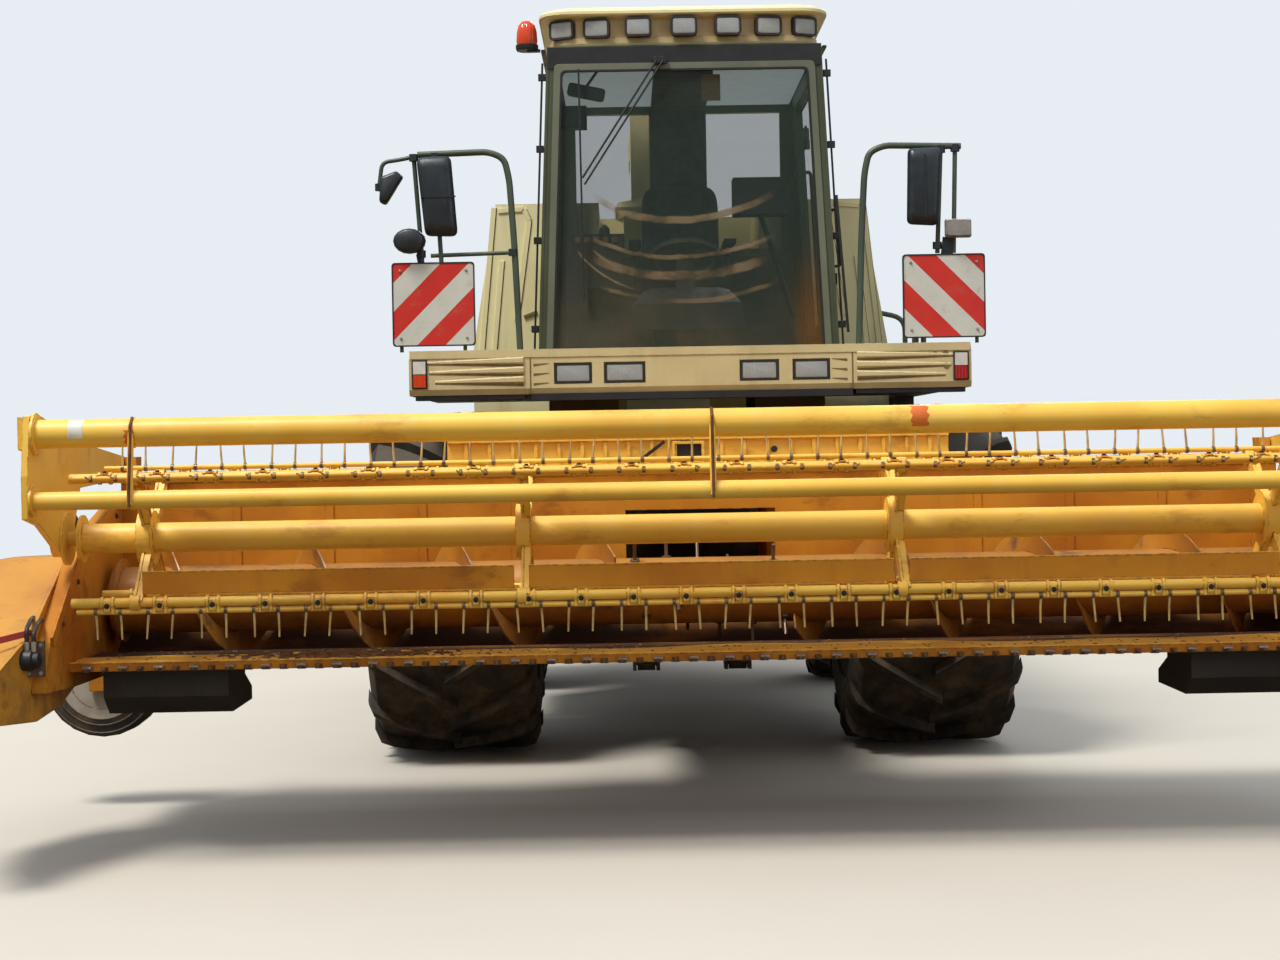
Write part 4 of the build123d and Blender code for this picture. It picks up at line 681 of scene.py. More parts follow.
# Auger: tube and stub shafts, a spiral flight from each end, and fingers in the middle stretch
AUGER = Vector((0, -2.25, 1.02))
FLIGHT_END = 2.66
FLIGHT_START = 0.40
FLIGHT_PITCH = 0.65
FLIGHT_STEPS = 150
form = Form()
form.disc(AUGER, X, 0.15, -2.67, 2.67, 64)
form.disc(AUGER, X, 0.03, -2.77, 2.77, 24)
for side in SIDES:
    rings = []
    for i in range(FLIGHT_STEPS + 1):
        along = FLIGHT_END - (FLIGHT_END - FLIGHT_START) * i / FLIGHT_STEPS
        out = spoke(side * 2 * math.pi * along / FLIGHT_PITCH)
        inner = AUGER + X * side * along + out * 0.146
        outer = AUGER + X * side * along + out * 0.25
        thick = X * 0.0035
        rings.append([inner - thick, outer - thick, outer + thick, inner + thick])
    form.loft(rings)
    form.disc(AUGER + X * side * 2.64, X, 0.19, 0, 0.012, 48)
for i in range(16):
    place = AUGER + X * (-0.36 + 0.048 * i)
    out = spoke(2 * math.pi * i * 0.31)
    form.tube([place + out * 0.14, place + out * 0.246], 0.008, 8, 1)
    form.turn([(0, 0.022), (0.012, 0.02)], place + out * 0.147, out, 16, 1)
make("auger_spirals", form, "auger", [auger_skin, bare], sharp=40, instead=("auger",))

# Reel: tube, spiders, four bats with stiffening plates, clips and double tines
REEL = Vector((0, -2.95, 1.329))
BAT_RADIUS = 0.36
SPIDERS = (-2.36, -0.78, 0.78, 2.36)
TINE_PAIRS = 24
form = Form()
form.disc(REEL, X, 0.0625, -2.64, 2.64, 40)
form.disc(REEL, X, 0.03, -2.731, 2.731, 24)
for side in SIDES:
    form.disc(REEL + X * side * 2.628, X, 0.10, 0, side * 0.012, 36)
for x in SPIDERS:
    form.turn([(-0.03, 0.085), (-0.03, 0.115), (0.03, 0.115), (0.03, 0.085)], REEL + X * x, X, 36)
for index in range(4):
    out = spoke(math.radians(45 + 90 * index))
    down = spoke(math.radians(90 + 90 * index))
    back = X.cross(down)
    bat = REEL + out * BAT_RADIUS
    form.tube([bat - X * 2.62, bat + X * 2.62], 0.02, 16)
    # Stiffening plate between the spiders, opposite the tines, with a folded edge; the plate's darker table
    # paint is painted shade.
    web = bat - down * 0.078
    lip = bat - down * 0.124 + back * 0.009
    for low, high in ((-2.33, -0.81), (-0.75, 0.75), (0.81, 2.33)):
        form.bar(web + X * low, web + X * high, 0.092, 0.005, down, 4)
        form.bar(lip + X * low, lip + X * high, 0.022, 0.005, back)
    carrier = bat + down * 0.037
    form.tube([carrier - X * 2.60, carrier + X * 2.60], 0.0115, 12)
    for x in SPIDERS:
        hub = REEL + X * x + out * 0.09
        end = REEL + X * x + out * (BAT_RADIUS - 0.012)
        form.bar(hub, end, 0.062, 0.010, back)
        for edge in (-0.031, 0.031):
            rib = back * edge + X * 0.016
            form.bar(hub + rib, end + rib, 0.032, 0.006)
        form.disc(bat + X * x, X, 0.032, -0.02, 0.02, 20)
        for share in (0.25, 0.75):
            form.bolt(hub.lerp(end, share) + X * 0.016, X, 0.009, 1)
    for pair in range(TINE_PAIRS):
        x = (pair - (TINE_PAIRS - 1) / 2) * 0.215
        clip = bat + X * x
        for half in (-0.022, 0.022):
            strap = clip + X * half
            form.disc(strap, X, 0.026, -0.006, 0.006, 12)
            form.bar(strap - back * 0.014, strap + down * 0.045 - back * 0.014, 0.012, 0.004)
        form.bar(clip - back * 0.02 - down * 0.004, clip - back * 0.02 + down * 0.034, 0.026, 0.006)
        form.bolt(clip - back * 0.022 + down * 0.012, -back, 0.009, 3)
        bend = X * math.sin(pair * 2.3 + index) * 0.004
        for half in (-0.05, 0.05):
            top = carrier + X * (x + half)
            form.disc(top, X, 0.0145, -0.006, 0.006, 12, 2)
            tip = top + down * 0.113 - back * 0.008 + bend * 2
            form.tube([top + down * 0.006, top + down * 0.05 + bend, tip], [0.0056, 0.0050, 0.0040], 6, 1)
make("tined_reel", form, "reel", [yellow, tine_steel, bare, seal, yellow_deep], sharp=38, instead=("reel",))

# Reel frame: hoops and pipes on the two cross tubes, end flanges with bolts, and three wrappings
TOP_TUBE = Vector((0, -3.39, 1.767))
LOW_TUBE = Vector((0, -3.455, 1.50))
form = Form()
for x in (-2.31, 0.0, 2.31):
    top = TOP_TUBE + X * x
    low = LOW_TUBE + X * x
    form.disc(top, X, 0.0615, -0.004, 0.004, 32)
    form.disc(low, X, 0.0400, -0.004, 0.004, 28)
    pipe = [top + Vector((0, y, z)) for y, z in ((-0.02, 0.060), (-0.062, 0.025), (-0.064, -0.03))]
    pipe += [low + Vector((0, y, z)) for y, z in ((-0.045, 0.03), (-0.043, -0.03))]
    form.tube(pipe, 0.0065, 8, 1)
# Place of the flange, radius, thickness, number of sides
END_FLANGES = ((TOP_TUBE, 0.085, 0.012, 36), (LOW_TUBE, 0.06, 0.012, 32), (REEL, 0.11, 0.015, 36))
for side in SIDES:
    end = X * side * 2.706
    for tube, radius, thick, sides in END_FLANGES:
        form.disc(tube + end, X, radius, 0, -side * thick, sides)
    for bolt in around(REEL + end + X * side * 0.025, Y * 0.058, Z * 0.058, 6):
        form.bolt(bolt, X * side, 0.010, 2)
# Limits across, first angle and turn in degrees, slot, raggedness
WRAPPINGS = ((0.795, 0.862, -30, 95, 3, 0.006), (-2.335, -2.30, -60, 70, 3, 0.006),
             (-2.56, -2.50, -20, 85, 4, 0))
for low, high, start, turn, slot, ragged in WRAPPINGS:
    rings = []
    for i in range(9):
        a = math.radians(start + turn * i / 8)
        jag = ragged * math.sin(i * 2.1)
        out = Z * math.sin(a) - Y * math.cos(a)
        corners = ((low, 0.057), (high, 0.057), (high, 0.0586), (low, 0.0586))
        rings.append([TOP_TUBE + X * (x + jag) + out * r for x, r in corners])
    form.loft(rings, slot)
make("reel_frame_fittings", form, "reel_frame", [yellow, rust, bare, orange_patch, white_plastic],
     bevel=0.0015)

# Table: ribs of floor and back wall, wavy-edged wear plate along the front in painted sunlight, beads at the
# ends
TABLE_HALF = 2.70
form = Form()
for x in (-2.15, -1.70, -0.604, 0.498, 1.60, 2.12):
    form.box((x - 0.007, x + 0.007), (-2.955, -2.46), (0.799, 0.8035), 1)
    form.bolt((x + 0.03, -2.93, 0.802), Z, 0.009, 1)
for i in range(13):
    x = -2.6 + i * 0.4333
    if abs(x) > 0.46:
        form.box((x - 0.02, x + 0.02), (-1.975, -1.969), (1.06, 1.54))
form.box((-TABLE_HALF, TABLE_HALF), (-2.974, -2.969), (0.770, 0.806))
# The wear plate's bright paint and wavy rear edge are a painted pool of sunlight on the floor's front.
rings = []
for i in range(91):
    x = TABLE_HALF * (i / 45 - 1)
    rear = -2.66 + 0.05 * math.sin(3.1 * x) + 0.03 * math.sin(7.7 * x + 1)
    rings.append([(x, -2.973, 0.801), (x, -2.973, 0.8075), (x, rear, 0.8065), (x, rear, 0.800)])
form.loft(rings, 2)
form.tube([(-TABLE_HALF, -1.96, 1.553), (TABLE_HALF, -1.96, 1.553)], 0.014, 10)
for side in SIDES:
    x = side * (TABLE_HALF - 0.006)
    form.bar((x, -2.0, 1.485), (x, -2.69, 1.30), 0.05, 0.012, Z)
    form.bar((x, -2.69, 1.30), (x, -3.24, 0.92), 0.05, 0.012, Z)
    for y, z in ((-2.1, 1.40), (-2.45, 1.30), (-2.8, 1.14), (-3.05, 0.98), (-2.9, 0.80), (-2.6, 0.80)):
        form.bolt((side * TABLE_HALF, y, z), -X * side, 0.011, 1)
make("table_ribs", form, "header", [yellow_deep, bare, lip_sunlight_skin], bevel=0.002)

# Knife bar with pointed guards, and a section of the knife over every second guard
GUARDS = 71
# Half width, place along, lower and upper edge
GUARD_SECTIONS = ((0.020, -2.955, 0.766, 0.790), (0.013, -2.980, 0.768, 0.790),
                  (0.003, -3.008, 0.773, 0.781))
form = Form()
form.box((-TABLE_HALF, TABLE_HALF), (-2.97, -2.90), (0.770, 0.794))
for i in range(GUARDS):
    x = (i - (GUARDS - 1) / 2) * 0.075
    form.loft([front_panel((x - half, x + half), (low, high), y) for half, y, low, high in GUARD_SECTIONS])
    if i % 2 == 0:
        form.loft([front_panel((x - 0.022, x + 0.030), (0.784, 0.796), -2.970),
                   front_panel((x - 0.016, x + 0.022), (0.782, 0.790), -2.993)], 1)
make("knife_and_guards", form, "header", [bare, bright], bevel=0.001, segments=1, instead=("cutterbar",))

# Dried soil and stalks on the front of the table: a heap, single clods and stalks
HEAP_X = -1.55


def table_floor(y):
    """Height of the table's floor, on its wear plate or behind it."""
    return 0.806 if y < -2.70 else 0.80


form = Form()
for i in range(420):
    x = random.gauss(HEAP_X, 0.22)
    y = random.gauss(-2.80, 0.06)
    size = random.uniform(0.006, 0.024) * (1.25 - min(abs(x - HEAP_X) * 1.2, 0.8))
    y = min(max(y, -2.95 + size), -2.60)
    clod = [(0, size), (size * 0.40, size * 0.85), (size * 0.62, size * 0.3)]
    form.turn(clod, (x, y, table_floor(y)), Z, 7)
for i in range(420):
    x = random.uniform(-2.6, 2.6)
    y = random.uniform(-2.93, -2.45)
    size = random.uniform(0.003, 0.010)
    form.turn([(0, size), (size * 0.5, size * 0.5)], (x, y, table_floor(y)), Z, 6)
for i in range(90):
    x = random.gauss(HEAP_X, 0.28)
    y = random.uniform(-2.90, -2.68)
    a = random.uniform(0, 3.1)
    reach = random.uniform(0.02, 0.06)
    form.tube([(x, y, 0.812), (x + reach * math.cos(a), y + reach * 0.5 * math.sin(a), 0.818)], 0.0018, 5)
make("dried_soil_and_stalks", form, "header", [soil], sharp=60)

# Knife drive at the right end, black with a red guard, and its motor with two fixed pipes
GEAR = Vector((-2.80, -2.92, 0.90))
MOTOR = Vector((-2.790, -3.372, 0.862))
form = Form()
form.box((-2.80, -2.762), (-3.12, -2.72), (0.74, 1.02))
form.turn([(0, 0.12), (-0.05, 0.12), (-0.06, 0.10)], GEAR, X, 32)
form.turn([(-0.06, 0.05), (-0.085, 0.045)], GEAR, X, 24, 2)
form.bar((-2.83, -2.92, 0.80), (-2.83, -3.0, 0.785), 0.05, 0.02, X, 2)
form.box((-2.80, -2.765), (-3.14, -3.12), (0.76, 1.0), 1)
pipe = [(-2.79, -2.75, 0.95), (-2.80, -2.4, 1.05), (-2.80, -2.1, 0.98), (-2.78, -1.9, 1.1)]
form.tube(bowed(pipe, 0.12), 0.014, 10)
form.box((-2.775, -2.700), (-3.345, -3.322), (0.790, 0.935), 2)
form.turn([(0, 0.042), (0.052, 0.042), (0.058, 0.030), (0.078, 0.030)], MOTOR, X, 28)
form.disc((-2.738, -3.345, 0.862), -Y, 0.030, 0, 0.022)
for z in (0.806, 0.918):
    for x in (-2.762, -2.714):
        form.bolt((x, -3.345, z), -Y, 0.007, 3)
for x, top in ((-2.760, 0.985), (-2.732, 0.970)):
    form.tube([(x, -3.372, 0.895), (x, -3.372, 0.935)], 0.011, 12, 3)
    pipe = [(x, -3.372, 0.930), (x, -3.372, top), (x - 0.012, -3.26, top + 0.035),
            (x - 0.045, -3.05, top + 0.030)]
    form.tube(bowed(pipe, 0.05), 0.009, 10)
form.bar((-2.870, -3.455, 0.945), (-2.745, -3.350, 0.972), 0.026, 0.010, Z, 1)
make("knife_drive", form, "header", [dark, red_paint, bare, bright], bevel=0.003)


# Dividers: steel runners under them, folded ridges on top and bolts outside
def divider_top(y):
    """Height of the divider's upper edge at a distance behind the front axle."""
    return 1.24 + (y + 2.75) * 0.5091 if y > -3.3 else 0.96 + (y + 3.3) * 0.4333


RUNNERS = (((2.90, -3.86, 0.649), (3.00, -3.25, 0.599)), ((3.00, -3.25, 0.599), (3.03, -2.92, 0.618)))
RIDGES = (((3.140, -3.06), (3.083, -3.49)), ((3.083, -3.49), (2.932, -3.88)),
          ((2.766, -2.76), (2.766, -3.29)), ((2.766, -3.31), (2.868, -3.88)))
form = Form()
for side in SIDES:
    for ends in RUNNERS:
        form.bar(*[(side * x, y, z) for x, y, z in ends], 0.06, 0.014, X, 1)
    for ends in RIDGES:
        form.bar(*[(side * x, y, divider_top(y) + 0.001) for x, y in ends], 0.016, 0.010)
    for y in (-3.12, -3.26, -3.40):
        x = side * (3.15 + (y + 3.05) * 0.13)
        for z in (0.70, 0.84):
            form.bolt((x, y, z), Vector((side, -0.13, 0)), 0.008, 2)
make("divider_fittings", form, "header", [divider_skin, bare, bright], bevel=0.002)

# Adapter: ribs between two flanges, a framed hole, a stay, couplings and a dark dot
form = Form()
for i in range(-10, 11):
    x = i * 0.11
    if abs(x) > 0.02:
        form.box((x - 0.009, x + 0.009), (-1.842, -1.829), (1.575, 1.705))
form.box((-1.19, 1.19), (-1.856, -1.829), (1.560, 1.574))
form.box((-1.19, 1.19), (-1.850, -1.829), (1.706, 1.720))
form.rim(front_panel((-0.125, 0.03), (1.59, 1.70), -1.852),
         front_panel((-0.11, 0.015), (1.605, 1.685), -1.852), Y * 0.02)
# Dark plate inside the frame: painted shade of the hole.
form.box((-0.11, 0.015), (-1.838, -1.833), (1.605, 1.685), 1)
form.bar((-0.32, -1.86, 1.58), (-0.16, -1.86, 1.70), 0.016, 0.016, Y, 1)
for x in (-0.10, -0.02, 0.55, 0.66):
    form.tube([(x, -1.80, 1.72), (x, -1.80, 1.79)], 0.012, 10, 2)
    form.turn([(0, 0.022), (0.03, 0.022), (0.035, 0.012)], (x, -1.80, 1.775), Z, 14, 2)
form.disc((0.36, -1.846, 1.655), -Y, 0.016, 0, 0.004, 18, 1)
make("adapter_ribs", form, "header", [yellow, dark, bright], bevel=0.002)


# Lamps
def lamp(form, centre, half_x, half_z, turn=0.0, deep=0.05, bezel_width=0.012, corner=0.018):
    """Lamp with a bezel, a dished reflector, a ribbed lens and a pale spot low inside as a painted
    highlight, turned outward about an upright axis.
    """
    spin = Matrix.Rotation(turn, 3, "Z")
    place = Vector(centre)

    def outline(grow, y):
        w = max(half_x + grow, 0.006)
        h = max(half_z + grow, 0.006)
        flat = rounded(frame_of((-w, w), (-h, h)), max(min(corner + grow, w * 0.9, h * 0.9), 0.003))
        return [place + spin @ Vector((p[0], y, p[1])) for p in flat]

    form.rim(outline(0, -0.006), outline(-bezel_width, -0.006), spin @ Y * (deep + 0.006))
    form.loft([outline(-bezel_width, 0.004), outline(-bezel_width - 0.008, 0.022),
               outline(-bezel_width - half_z * 0.42, 0.036)], 1)
    form.loft([outline(-bezel_width, 0.0), outline(-bezel_width - 0.001, -0.004),
               outline(-bezel_width - 0.01, -0.008)], 2)
    # Pale spot low in the lamp: a painted highlight.
    spot = around((0, 0.014, -half_z * 0.38), X * half_x * 0.42, Z * half_z * 0.20, 12)
    form.plate([place + spin @ p for p in spot], spin @ Y * 0.004, 6)


form = Form()
for low, high in ((-0.708, -0.511), (-0.449, -0.234), (0.255, 0.460), (0.530, 0.725)):
    lamp(form, ((low + high) / 2, -0.895, 2.065), (high - low) / 2 - 0.003, 0.053)
for low, high, lower_slot in ((-1.445, -1.365, 4), (1.365, 1.445, 5)):
    form.rim(front_panel((low, high), (1.995, 2.145), -0.908, 0.008),
             front_panel((low + 0.008, high - 0.008), (2.003, 2.137), -0.908, 0.006), Y * 0.02)
    form.box((low + 0.008, high - 0.008), (-0.914, -0.895), (2.072, 2.137), 3)
    form.box((low + 0.008, high - 0.008), (-0.914, -0.895), (2.003, 2.068), lower_slot)
outer = front_panel((0.88, 1.06), (1.72, 1.80), 5.082, 0.012)
inner = front_panel((0.89, 1.05), (1.73, 1.79), 5.082, 0.010)
for side in SIDES:
    form.rim([(side * x, y, z) for x, y, z in outer], [(side * x, y, z) for x, y, z in inner], Y * -0.032)
    form.box(span(side, 0.89, 1.00), (5.05, 5.078), (1.73, 1.79), 5)
    form.box(span(side, 1.004, 1.05), (5.05, 5.078), (1.73, 1.79), 4)
# Place across and how far each lamp turns outward
ROOF_LAMPS = ((-0.643, -0.42), (-0.46, -0.16), (-0.24, -0.05), (0.0, 0.0), (0.232, 0.05), (0.447, 0.16),
              (0.640, 0.42))
for x, turn in ROOF_LAMPS:
    lamp(form, (x, -0.775 + 0.09 * (x / 0.72) ** 2, 3.8775), 0.070, 0.050, turn, 0.04, 0.011, 0.024)
make("work_lamps", form, "machine", [bezel, lamp_dish, lens, white_plastic, orange, red_lens, lamp_painted_glint],
     sharp=35, instead=("lamps",))


# Cab roof: crowned, with an overhanging lip above a fascia in darker cream, as painted shade under the lip
def roof_ring(inset, z, bow=0.05):
    """Outline of the roof at a height: straight sides, bowed front, round corners."""
    half = 0.765 - inset
    out = []
    for p in rounded(frame_of((-half, half), (-0.80 + inset + bow, 0.86 - inset)), 0.16, 8):
        lift = bow * max(0.0, 1 - (p.x / half) ** 2) * min(1.0, -p.y / 0.5) if p.y < 0 else 0
        out.append((p.x, p.y - lift, z))
    return out


# Inset, height, and the slot of the band below
LEVELS = ((0.085, 3.781, 0), (0.055, 3.79, 0), (0.048, 3.80, 0), (0.05, 3.826, 1), (0.058, 3.834, 1),
          (0.058, 3.922, 1), (0.048, 3.934, 1), (0.010, 3.940, 0), (0.0, 3.948, 0), (0.0, 3.962, 0),
          (0.008, 3.974, 0), (0.035, 3.986, 0), (0.09, 3.996, 0), (0.20, 4.003, 0), (0.40, 4.005, 0),
          (0.60, 4.005, 0))
form = Form()
rings = [roof_ring(inset, z) for inset, z, _ in LEVELS]
for lower, upper, level in zip(rings, rings[1:], LEVELS[1:]):
    form.loft([lower, upper], level[2], caps=False)
form.add(rings[0], [tuple(range(len(rings[0])))[::-1]])
form.add(rings[-1], [tuple(range(len(rings[-1])))])
make("crowned_roof", form, "machine", [cream, cream_painted_shade], sharp=50, instead=("cab_roof",))

# Cab front: dark band over the windscreen, frames and seal round it
CAB_FRONT = -0.75


def half_width(z):
    """Half width of the cab at a height."""
    return 0.80 - 0.08 * (z - 2.0) / 1.78


def front_outline(inset, low, high, y, radius):
    """Outline drawn in from the tapered sides of the cab's front."""
    low_x = half_width(low) - inset
    high_x = half_width(high) - inset
    corners = [(-low_x, low), (low_x, low), (high_x, high), (-high_x, high)]
    return facing_front(rounded(corners, radius) if radius else corners, y)


# Outer and inner (inset, low, high), place before the cab's front, thickness, corner radius, slot
SCREEN_FRAMES = (((0.040, 2.080, 3.690), (0.078, 2.121, 3.655), 0.008, 0.014, 0.03, 4),
                 ((0.075, 2.118, 3.658), (0.087, 2.130, 3.646), 0.010, 0.016, 0.03, 1),
                 ((0.0, 2.0, 3.775), (0.014, 2.014, 3.76), 0.004, 0.01, 0.0, 2))
form = Form()
form.plate(front_outline(0.004, 3.665, 3.778, CAB_FRONT - 0.006, 0.0), Y * 0.007)
for outer, inner, before, thick, radius, slot in SCREEN_FRAMES:
    y = CAB_FRONT - before
    form.rim(front_outline(*outer, y, radius), front_outline(*inner, y, radius), Y * thick, slot)
# Wiper with two arms that hold an upright blade
pivot = Vector((-0.145, CAB_FRONT - 0.03, 3.70))
for offset in (0.0, 0.035):
    blade_end = Vector((-0.545 + offset * 0.3, CAB_FRONT - 0.03, 3.09 - offset))
    form.tube([pivot + X * offset, blade_end], 0.006, 8, 3)
    form.turn([(0, 0.022), (0.03, 0.020)], pivot + Vector((offset, 0.028, 0)), -Y, 18, 3)
for before, wide, deep, slot in ((0.020, 0.010, 0.014, 3), (0.010, 0.004, 0.012, 1)):
    y = CAB_FRONT - before
    form.bar((-0.556, y, 3.66), (-0.548, y, 2.45), wide, deep, X, slot)
# Corner rods with small clips beside the posts, and a stay at the left post
for side in SIDES:
    top = Vector((side * (half_width(3.70) + 0.022), CAB_FRONT + 0.02, 3.70))
    low = Vector((side * (half_width(2.2) + 0.022), CAB_FRONT + 0.02, 2.2))
    form.tube([top, low], 0.006, 8, 3)
    for share in (0.05, 0.3, 0.62, 0.93):
        x, y, z = top.lerp(low, share)
        form.box((x - 0.02, x + 0.02), (y - 0.012, y + 0.012), (z - 0.018, z + 0.018), 3)
form.bar((half_width(3.0) + 0.03, CAB_FRONT - 0.02, 2.98), (half_width(2.3) + 0.05, CAB_FRONT - 0.02, 2.26),
         0.014, 0.010, X, 3)
make("windscreen_trim", form, "machine", [dark, seal, olive, dark, olive_rim], bevel=0.002)

# Inside of the cab: limits across, along and in height, and slot of each block
CAB_BLOCKS = (
    ((-0.66, 0.66), (-0.62, 0.66), (3.69, 3.725), 4),
    ((-0.16, 0.16), (-0.50, 0.66), (3.655, 3.70), 0),
    ((-0.66, -0.52), (-0.58, -0.50), (3.38, 3.50), 1),
    ((0.09, 0.19), (-0.668, -0.664), (3.50, 3.64), 2),
    ((0.26, 0.56), (-0.46, -0.30), (2.92, 3.12), 1),
    ((-0.70, 0.70), (-0.69, -0.60), (2.055, 2.15), 1),
    ((-0.16, 0.16), (0.69, 0.745), (2.1, 3.70), 0),
    ((-0.68, 0.68), (0.66, 0.745), (2.06, 2.80), 0),
    ((-0.62, 0.62), (-0.64, 0.64), (2.052, 2.062), 3),
)
# Dash: half width, lower and upper edge, place along
DASH = ((0.30, 2.30, 2.44, -0.60), (0.24, 2.33, 2.52, -0.46), (0.20, 2.40, 2.54, -0.36))
form = Form()
for x, y, z, slot in CAB_BLOCKS:
    form.box(x, y, z, slot)
form.loft([front_panel((-half, half), (low, high), y, 0.03) for half, low, high, y in DASH], 1)
mirror_place = Vector((-0.52, -0.60, 3.565))
lean = Matrix.Rotation(math.radians(12), 3, "Y")
outline = front_panel((-0.10, 0.10), (-0.035, 0.035), -0.02, 0.02)
form.plate([mirror_place + lean @ Vector(p) for p in outline], Y * 0.03, 1)
form.tube([mirror_place + Z * 0.03, (-0.45, -0.55, 3.70)], 0.008, 8, 1)
form.tube([(0.41, -0.38, 2.93), (0.50, -0.2, 2.7), (0.60, -0.1, 2.4)], 0.015, 8, 1)
for i in range(5):
    x = -0.60 + i * 0.05
    form.box((x, x + 0.03), (-0.28, -0.24), (2.80, 2.83), 2)
form.tube([(-0.44, -0.10, 2.73), (-0.44, -0.14, 2.84)], 0.014, 10, 1)
form.turn([(-0.03, 0.02), (0.0, 0.032), (0.03, 0.028), (0.05, 0.008)], (-0.44, -0.15, 2.86), Z, 20, 1)
make("cab_interior", form, "machine", [inside, dark, brown_card, floor_mat, headlining], bevel=0.004)


# Driver's seat: sewn cushions on a suspension base
def cushion(name, centre, size, lean, channels):
    """Crowned pad: a rounded block whose faces swell, whose sides pull in and whose seams sink."""
    work = bmesh.new()
    bmesh.ops.create_cube(work, size=2)
    bmesh.ops.subdivide_edges(work, edges=work.edges, cuts=15, use_grid_fill=True)
    for v in work.verts:
        p = v.co
        p /= (abs(p.x) ** 6 + abs(p.y) ** 6 + abs(p.z) ** 6) ** (1 / 6)
        swell = max(0.0, (1 - p.x ** 2)) * max(0.0, (1 - p.y ** 2))
        seam = (1 - abs(math.sin(p.y * math.pi * channels / 2))) ** 6
        p.z *= (0.82 + 0.18 * swell) * (1 - 0.10 * seam)
        p.x *= 1 - 0.03 * (1 - abs(p.z))
        p.x *= size[0] / 2
        p.y *= size[1] / 2
        p.z *= size[2] / 2
    x, y, z = centre
    work.transform(Matrix.Translation((x, aft(y), z)) @ Matrix.Rotation(math.radians(lean), 4, "X"))
    mesh = bpy.data.meshes.new(name)
    work.to_mesh(mesh)
    work.free()
    add_piece(name, mesh, "machine", [fabric])


cushion("seat_cushion", (0.0, 0.27, 2.60), (0.50, 0.46, 0.13), 0, 4)
cushion("seat_back", (0.0, 0.575, 2.90), (0.46, 0.62, 0.12), 80, 6)
# Half width, half depth, height of the bellows under the seat
BELLOWS = ((0.20, 0.19, 2.07), (0.17, 0.16, 2.25), (0.18, 0.17, 2.45), (0.22, 0.21, 2.53))
form = Form()
form.loft([top_panel((-half, half), (0.29 - deep, 0.29 + deep), z, 0.04) for half, deep, z in BELLOWS])
for side in SIDES:
    x = side * 0.27
    form.tube([(x, 0.50, 2.62), (x, 0.50, 2.80), (x, 0.20, 2.82)], 0.016, 10)
    form.box((x - 0.035, x + 0.035), (0.10, 0.46), (2.82, 2.85))
make("seat_base", form, "machine", [dark], bevel=0.008, instead=("seat",))

# Mirror rails with their mirrors
RAIL_Y = -0.84
MIRROR_Y = RAIL_Y - 0.02


def rail(form, places, radius, sides=12, bend=0.0, slot=0):
    """Tube in the plane of the rails through (across, height) places."""
    path = facing_front(places, RAIL_Y)
    form.tube(bowed(path, bend) if bend else path, radius, sides, slot)


def main_rail(form, side, end_x):
    """Rail that rises from the platform and turns outward above the mirrors."""
    places = [(0.884, 2.19), (0.905, 2.75), (0.925, 3.08), (0.95, 3.19), (1.03, 3.225), (end_x, 3.215)]
    rail(form, [(side * x, z) for x, z in places], 0.017, 14, 0.09)


def collars(form, places):
    for x, z in places:
        form.disc((x, RAIL_Y, z), Z, 0.024, -0.018, 0.018, 16, 1)


def mirror(form, outline, deep):
    """Mirror head: domed shell to the front, glass to the rear."""
    outline = [Vector(p) for p in outline]
    centre = sum(outline, Vector((0, 0))) / len(outline)

    def scaled(share, y):
        return facing_front([centre + (p - centre) * share for p in outline], y)

    dome = ((0.72, 1), (0.90, 0.86), (0.98, 0.5), (1.0, 0))
    form.loft([scaled(share, MIRROR_Y - deep * before) for share, before in dome], 1)
    form.plate(scaled(0.93, MIRROR_Y), Y * 0.003, 2)


form = Form()
main_rail(form, -1, 1.40)
rail(form, [(-1.38, 3.213), (-1.50, 3.19), (-1.585, 3.18), (-1.605, 3.03)], 0.011, bend=0.05)
rail(form, [(-1.42, 3.21), (-1.385, 2.67)], 0.012)
rail(form, [(-1.312, 3.21), (-1.285, 2.64)], 0.012)
rail(form, [(-1.34, 2.69), (-0.905, 2.70)], 0.011)
rail(form, [(-1.40, 2.70), (-1.385, 2.62)], 0.018, slot=1)
for x in (-1.50, -1.17):
    rail(form, [(x, 2.19), (x, 2.62)], 0.010, 10)
mirror(form, rounded([(-1.365, 2.79), (-1.195, 2.785), (-1.225, 3.205), (-1.405, 3.20)], 0.035), 0.055)
small = [(-1.60, 2.97), (-1.565, 2.95), (-1.47, 3.10), (-1.505, 3.13), (-1.59, 3.10)]
mirror(form, rounded(small, 0.02), 0.05)
mirror(form, around((-1.447, 2.765), Vector((0.085, 0)), Vector((0, 0.066)), 16), 0.06)
form.box((-1.38, -1.20), (RAIL_Y - 0.078, RAIL_Y - 0.07), (2.985, 2.992), 1)
collars(form, ((-1.39, 2.70), (-1.312, 3.205), (-0.912, 2.70), (-1.42, 3.20), (-1.60, 3.05)))
make("mirror_set_right", form, "machine", [green, mirror_back, reflector], sharp=45,
     instead=("mirror_rail_right",))

